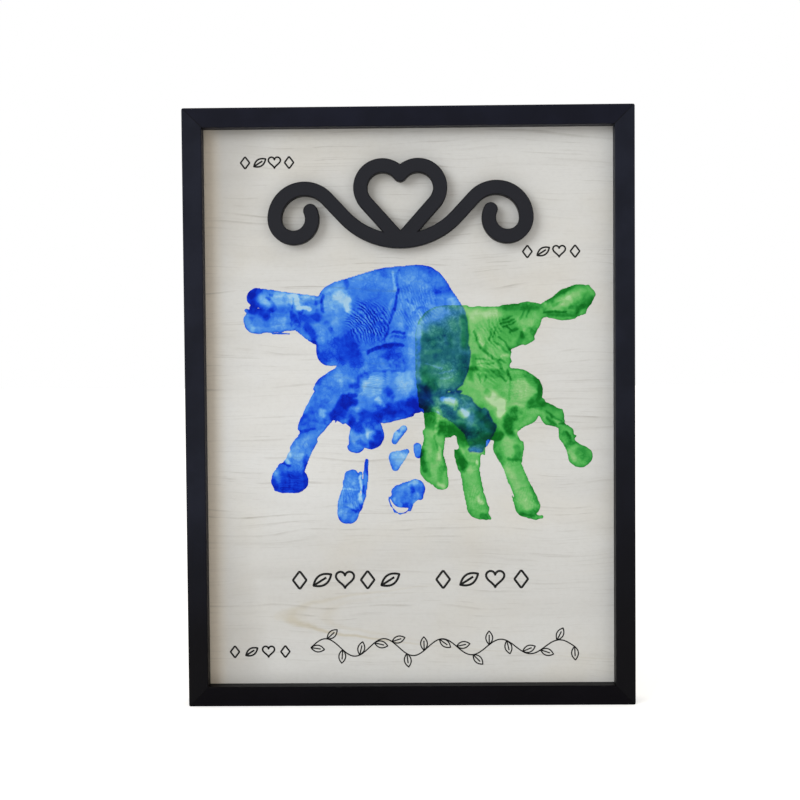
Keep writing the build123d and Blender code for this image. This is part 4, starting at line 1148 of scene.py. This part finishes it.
# Sizes of each print in millimetres, from its first point at x, z on the panel.
ink_rows = {
    "top_left_marks": {"First": (-83.2, 278), "Count": 4, "Pitch": 7.5, "Height": 6.2, "Stroke": 0.85},
    "right_marks": {"First": (60.6, 231.6), "Count": 4, "Pitch": 8.1, "Height": 6.4, "Stroke": 0.85},
    "centre_left_marks": {"First": (-57.5, 63.6), "Count": 5, "Pitch": 11.7, "Height": 9.4, "Stroke": 1.15},
    "centre_right_marks": {"First": (16.5, 63.6), "Count": 4, "Pitch": 13.4, "Height": 9.4, "Stroke": 1.15},
    "low_left_marks": {"First": (-91.4, 26.5), "Count": 4, "Pitch": 8.7, "Height": 6.2, "Stroke": 0.9},
}
vine = {
    "First": (-52, 28.5), "Length": 136, "Rise": 4.6, "Waves": 4.5, "Stroke": 0.65, "Leaves": 17, "Leaf": 7
}


def printing_ink():
    """Matt black ink, a little thin where the grain takes it."""
    material, tree, shader, coords = new_material("black_printing_ink", Specular_IOR_Level=0.1)
    thin = spread(tree, noise_at(tree, coords, 0.6 * mm, roughness=0.6), 0.5, 0.75, 0.0, 0.5)
    tone = blend_colours(tree, thin, ink_black, ink_black_thin)
    rough = calc(tree, "MULTIPLY_ADD", thin, 0.3, 0.55)
    relief = calc(tree, "SUBTRACT", 1.0, thin)
    surface(tree, shader, tone, rough, relief, depth=0.02 * mm, strength=0.4)
    return material


ink = printing_ink()


def end_print(tree, flat, first):
    """Stand flat ink up against the panel from its first point, and make it one inked mesh."""
    stand = {"Geometry": flat, "Translation": first, "Rotation": (math.pi / 2, 0, 0)}
    upright = add_node(tree, "GeometryNodeTransform", stand)
    whole = add_node(tree, "GeometryNodeRealizeInstances", {"Geometry": upright.outputs[0]})
    inked = add_node(tree, "GeometryNodeSetMaterial", {"Geometry": whole.outputs[0], "Material": ink})
    return end_group(tree, inked.outputs[0])


def ribbon(tree, lines, stroke):
    """Flat ribbon of ink along lines on the XY plane."""
    size = {"Width": stroke, "Height": ink_proud}
    section = add_node(tree, "GeometryNodeCurvePrimitiveQuadrilateral", size, mode="RECTANGLE")
    sweep = {"Curve": lines, "Profile Curve": section.outputs[0], "Fill Caps": True}
    return add_node(tree, "GeometryNodeCurveToMesh", sweep).outputs[0]


def ring(tree):
    """Closed line of points on a circle of radius 1, with the x and y of each."""
    circle = add_node(tree, "GeometryNodeCurvePrimitiveCircle", {"Resolution": ring_steps, "Radius": 1.0})
    half_step = {"Geometry": circle.outputs["Curve"], "Rotation": (0, 0, math.pi / ring_steps)}
    turned = add_node(tree, "GeometryNodeTransform", half_step)
    place = axes(tree, tree.nodes.new("GeometryNodeInputPosition").outputs[0])
    return turned.outputs[0], place[0], place[1]


def reshaped(tree, line, x, y, half):
    """The line with its points moved to x and y, times half the mark's height."""
    place = vector(tree, calc(tree, "MULTIPLY", x, half), calc(tree, "MULTIPLY", y, half))
    return add_node(tree, "GeometryNodeSetPosition", {"Geometry": line, "Position": place}).outputs[0]


def heart_line(tree, half):
    """Outline of a heart: its x is the cube of a sine and its y a polynomial of the cosine."""
    line, cosine, sine = ring(tree)
    cube = calc(tree, "MULTIPLY", calc(tree, "MULTIPLY", sine, sine), sine)
    y = calc(tree, "MULTIPLY_ADD", cosine, -0.5, -0.5)
    for term in (-0.125, 1.1875, 0.406):
        y = calc(tree, "MULTIPLY_ADD", y, cosine, term)
    return reshaped(tree, line, cube, y, half)


def together(tree, *pieces):
    """Several geometries as one."""
    whole = tree.nodes.new("GeometryNodeJoinGeometry")
    for piece in pieces:
        tree.links.new(piece, whole.inputs[0])
    return whole.outputs[0]


def leaf_line(tree, half, slim):
    """Pointed outline of a leaf along X with its midrib; its tips are at plus and minus half."""
    line, cosine, sine = ring(tree)
    swell = calc(tree, "MULTIPLY", calc(tree, "MULTIPLY", sine, calc(tree, "ABSOLUTE", sine)), slim)
    outline = reshaped(tree, line, cosine, swell, half)
    rib_start, rib_end = (vector(tree, calc(tree, "MULTIPLY", half, share)) for share in (-1.0, 0.45))
    rib = add_node(tree, "GeometryNodeCurvePrimitiveLine", {"Start": rib_start, "End": rib_end})
    return together(tree, outline, rib.outputs[0])


def diamond_line(tree, half):
    """Outline of a diamond with slightly rounded corners."""
    size = {"Width": calc(tree, "MULTIPLY", half, 1.5), "Bottom Height": half, "Top Height": half}
    kite = add_node(tree, "GeometryNodeCurvePrimitiveQuadrilateral", size, mode="KITE")
    rounds = {"Curve": kite.outputs[0], "Radius": calc(tree, "MULTIPLY", half, 0.12), "Count": 3}
    return add_node(tree, "GeometryNodeFilletCurve", rounds, mode="POLY").outputs[0]


def row_tree():
    """Tree for a level row of outlined marks in turn: heart, leaf and diamond."""
    sockets = {label: "Float" for label in ("Pitch", "Height", "Stroke")}
    sockets = {"First": "Vector", "Count": "Int", **sockets}
    tree, given = begin_group("Geometry", "printed_row", sockets, {"Geometry": "Geometry"})
    half = calc(tree, "MULTIPLY", given["Height"], 0.5)
    leaf = leaf_line(tree, calc(tree, "MULTIPLY", half, 1.15), leaf_slimness)
    leaning = add_node(tree, "GeometryNodeTransform", {"Geometry": leaf, "Rotation": (0, 0, leaf_lean)})
    marks = tree.nodes.new("GeometryNodeGeometryToInstance")
    for line in (heart_line(tree, half), leaning.outputs[0], diamond_line(tree, half)):
        tree.links.new(ribbon(tree, line, given["Stroke"]), marks.inputs[0])
    spacing = {"Count": given["Count"], "Offset": vector(tree, given["Pitch"])}
    places = add_node(tree, "GeometryNodeMeshLine", spacing, mode="OFFSET")
    turn = calc(tree, "MODULO", tree.nodes.new("GeometryNodeInputIndex").outputs[0], 3)
    pick = {"Instance": marks.outputs[0], "Pick Instance": True, "Instance Index": turn}
    row = add_node(tree, "GeometryNodeInstanceOnPoints", {"Points": places.outputs[0], **pick})
    return end_print(tree, row.outputs[0], given["First"])


def vine_tree():
    """Tree for a thin waving stem whose outlined leaves point forward on alternate sides."""
    sockets = {label: "Float" for label in ("Length", "Rise", "Waves", "Stroke", "Leaf")}
    sockets = {"First": "Vector", "Leaves": "Int", **sockets}
    tree, given = begin_group("Geometry", "printed_vine", sockets, {"Geometry": "Geometry"})
    level = add_node(tree, "GeometryNodeCurvePrimitiveLine", {"End": vector(tree, given["Length"])})
    steps = {"Curve": level.outputs[0], "Count": stem_steps}
    points = add_node(tree, "GeometryNodeResampleCurve", steps, mode="COUNT")
    along = tree.nodes.new("GeometryNodeSplineParameter").outputs["Factor"]
    turns = calc(tree, "MULTIPLY", calc(tree, "MULTIPLY", along, given["Waves"]), 2 * math.pi)
    swing = calc(tree, "MULTIPLY", calc(tree, "SINE", turns), given["Rise"])
    swell = calc(tree, "MULTIPLY_ADD", calc(tree, "COSINE", along), 0.6, 0.4)
    swing = calc(tree, "MULTIPLY", swing, swell)
    wave = {"Geometry": points.outputs[0], "Offset": vector(tree, y=swing)}
    stem = add_node(tree, "GeometryNodeSetPosition", wave).outputs[0]
    seating = {"Curve": stem, "Count": given["Leaves"]}
    seats = add_node(tree, "GeometryNodeCurveToPoints", seating, mode="COUNT")
    ahead = axes(tree, seats.outputs["Tangent"])
    odd = calc(tree, "MODULO", tree.nodes.new("GeometryNodeInputIndex").outputs[0], 2)
    side = calc(tree, "MULTIPLY_ADD", odd, 2.0, -1.0)
    bearing = calc(tree, "MULTIPLY_ADD", side, leaf_turn, calc(tree, "ARCTAN2", ahead[1], ahead[0]))
    half = calc(tree, "MULTIPLY", given["Leaf"], 0.5)
    rooted = {"Geometry": leaf_line(tree, half, leaf_slimness), "Translation": vector(tree, half)}
    leaf = ribbon(tree, add_node(tree, "GeometryNodeTransform", rooted).outputs[0], given["Stroke"])
    growing = {"Points": seats.outputs["Points"], "Instance": leaf, "Rotation": vector(tree, z=bearing)}
    leaves = add_node(tree, "GeometryNodeInstanceOnPoints", growing)
    whole = together(tree, ribbon(tree, stem, given["Stroke"]), leaves.outputs[0])
    return end_print(tree, whole, given["First"])


def printed(name, tree, sizes):
    """A piece of ink made by a tree from its sizes, as a plain mesh."""
    piece = bpy.data.objects.new(name, bpy.data.meshes.new(name))
    bpy.context.scene.collection.objects.link(piece)
    maker = piece.modifiers.new("print", "NODES")
    maker.node_group = tree
    lengths = ("Pitch", "Height", "Stroke", "Length", "Rise", "Leaf")
    for socket in tree.interface.items_tree:
        if socket.in_out == "INPUT" and socket.name == "First":
            x, z = sizes["First"]
            maker[socket.identifier] = (x * mm, panel_y - ink_proud / 2, z * mm)
        elif socket.in_out == "INPUT":
            maker[socket.identifier] = sizes[socket.name] * (mm if socket.name in lengths else 1)
    made = piece.evaluated_get(bpy.context.evaluated_depsgraph_get())
    mesh = bpy.data.meshes.new_from_object(made)
    piece.modifiers.remove(maker)
    piece.data = mesh
    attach(piece, "root")


printed_row = row_tree()
for name, sizes in ink_rows.items():
    printed(name, printed_row, sizes)
printed("leafy_vine", vine_tree(), vine)


# Rubber bumpers. Two milky moulded domes of soft rubber with a sticky base. They are pressed on the
# lower corners of the back and keep the frame off the wall.
rubber_grey = (0.5, 0.5, 0.49, 1)
rubber_pale = (0.62, 0.62, 0.6, 1)


def bumper_rubber():
    """Milky soft rubber with a faint moulded grain."""
    material, tree, shader, coords = new_material("milky_rubber", Transmission_Weight=0.35, IOR=1.45)
    grain = noise_at(tree, coords, 0.5 * mm, roughness=0.6)
    tone = blend_colours(tree, grain, rubber_grey, rubber_pale)
    rough = calc(tree, "MULTIPLY_ADD", grain, 0.2, 0.3)
    surface(tree, shader, tone, rough, grain, depth=0.03 * mm, strength=0.5)
    return material


rubber = bumper_rubber()
dress("left_bumper", rubber)
dress("right_bumper", rubber)


# Studio. A pale floor that keeps the frame's soft shadow, a white surround, one broad soft light from
# the upper left, and the camera where the photograph was taken.
floor_size = 12.0
floor_pale = (0.8, 0.8, 0.8, 1)
floor_paler = (0.84, 0.84, 0.84, 1)
floor_glow = 0.5
bpy.ops.mesh.primitive_plane_add(size=floor_size)
floor = bpy.context.object
floor.name = "studio_floor"


def shown_white(tree):
    """1 for what the camera sees, straight, mirrored or through glass, and 0 for light on the object."""
    path = tree.nodes.new("ShaderNodeLightPath")
    seen = calc(tree, "MAXIMUM", path.outputs["Is Camera Ray"], path.outputs["Is Glossy Ray"])
    return calc(tree, "MAXIMUM", seen, path.outputs["Is Transmission Ray"])


def floor_white():
    """Matt white that glows for the camera alone, so that nothing but the frame's soft shadow shows."""
    material, tree, shader, coords = new_material("studio_floor_white", Roughness=0.9)
    pale = blend_colours(tree, noise_at(tree, coords, 0.4, detail=2), floor_pale, floor_paler)
    tree.links.new(pale, shader.inputs["Base Color"])
    glowing = calc(tree, "MULTIPLY", shown_white(tree), floor_glow)
    glow = add_node(tree, "ShaderNodeEmission", {"Color": (1, 1, 1, 1), "Strength": glowing})
    both = add_node(tree, "ShaderNodeAddShader", {0: shader.outputs[0], 1: glow.outputs[0]})
    tree.links.new(both.outputs[0], tree.nodes["Material Output"].inputs["Surface"])
    return material


floor.data.materials.append(floor_white())

pure_white = (1, 1, 1, 1)
fill_tint = (1.0, 0.96, 0.89, 1)
fill_level = 0.76
world = bpy.data.worlds.new("studio_surround")
bpy.context.scene.world = world
world.use_nodes = True
tree = world.node_tree
surround = tree.nodes["Background"]
seen = shown_white(tree)
tint = blend_colours(tree, seen, fill_tint, pure_white)
tree.links.new(tint, surround.inputs["Color"])
tree.links.new(calc(tree, "MULTIPLY_ADD", seen, 1 - fill_level, fill_level), surround.inputs["Strength"])

window_from = Vector((-0.62, -0.71, 0.34))
window = bpy.data.lights.new("window_light", "SUN")
window.energy = 1.3
window.angle = math.radians(34)
window.color = (0.94, 0.98, 1.0)
lamp = bpy.data.objects.new("window_light", window)
bpy.context.scene.collection.objects.link(lamp)
lamp.rotation_euler = window_from.to_track_quat("Z", "Y").to_euler()

camera_place = (0.0056, -0.71935, 0.18232)
camera_turn_degrees = (87.92, 0.45, 0.83)
camera_data = bpy.data.cameras.new("photo_camera")
camera_data.lens = 63
camera_data.sensor_width = 36
camera_data.clip_start = 0.05
camera = bpy.data.objects.new("photo_camera", camera_data)
bpy.context.scene.collection.objects.link(camera)
camera.location = camera_place
camera.rotation_euler = Euler([math.radians(turn) for turn in camera_turn_degrees])
bpy.context.scene.camera = camera
bpy.context.scene.view_settings.view_transform = "Standard"
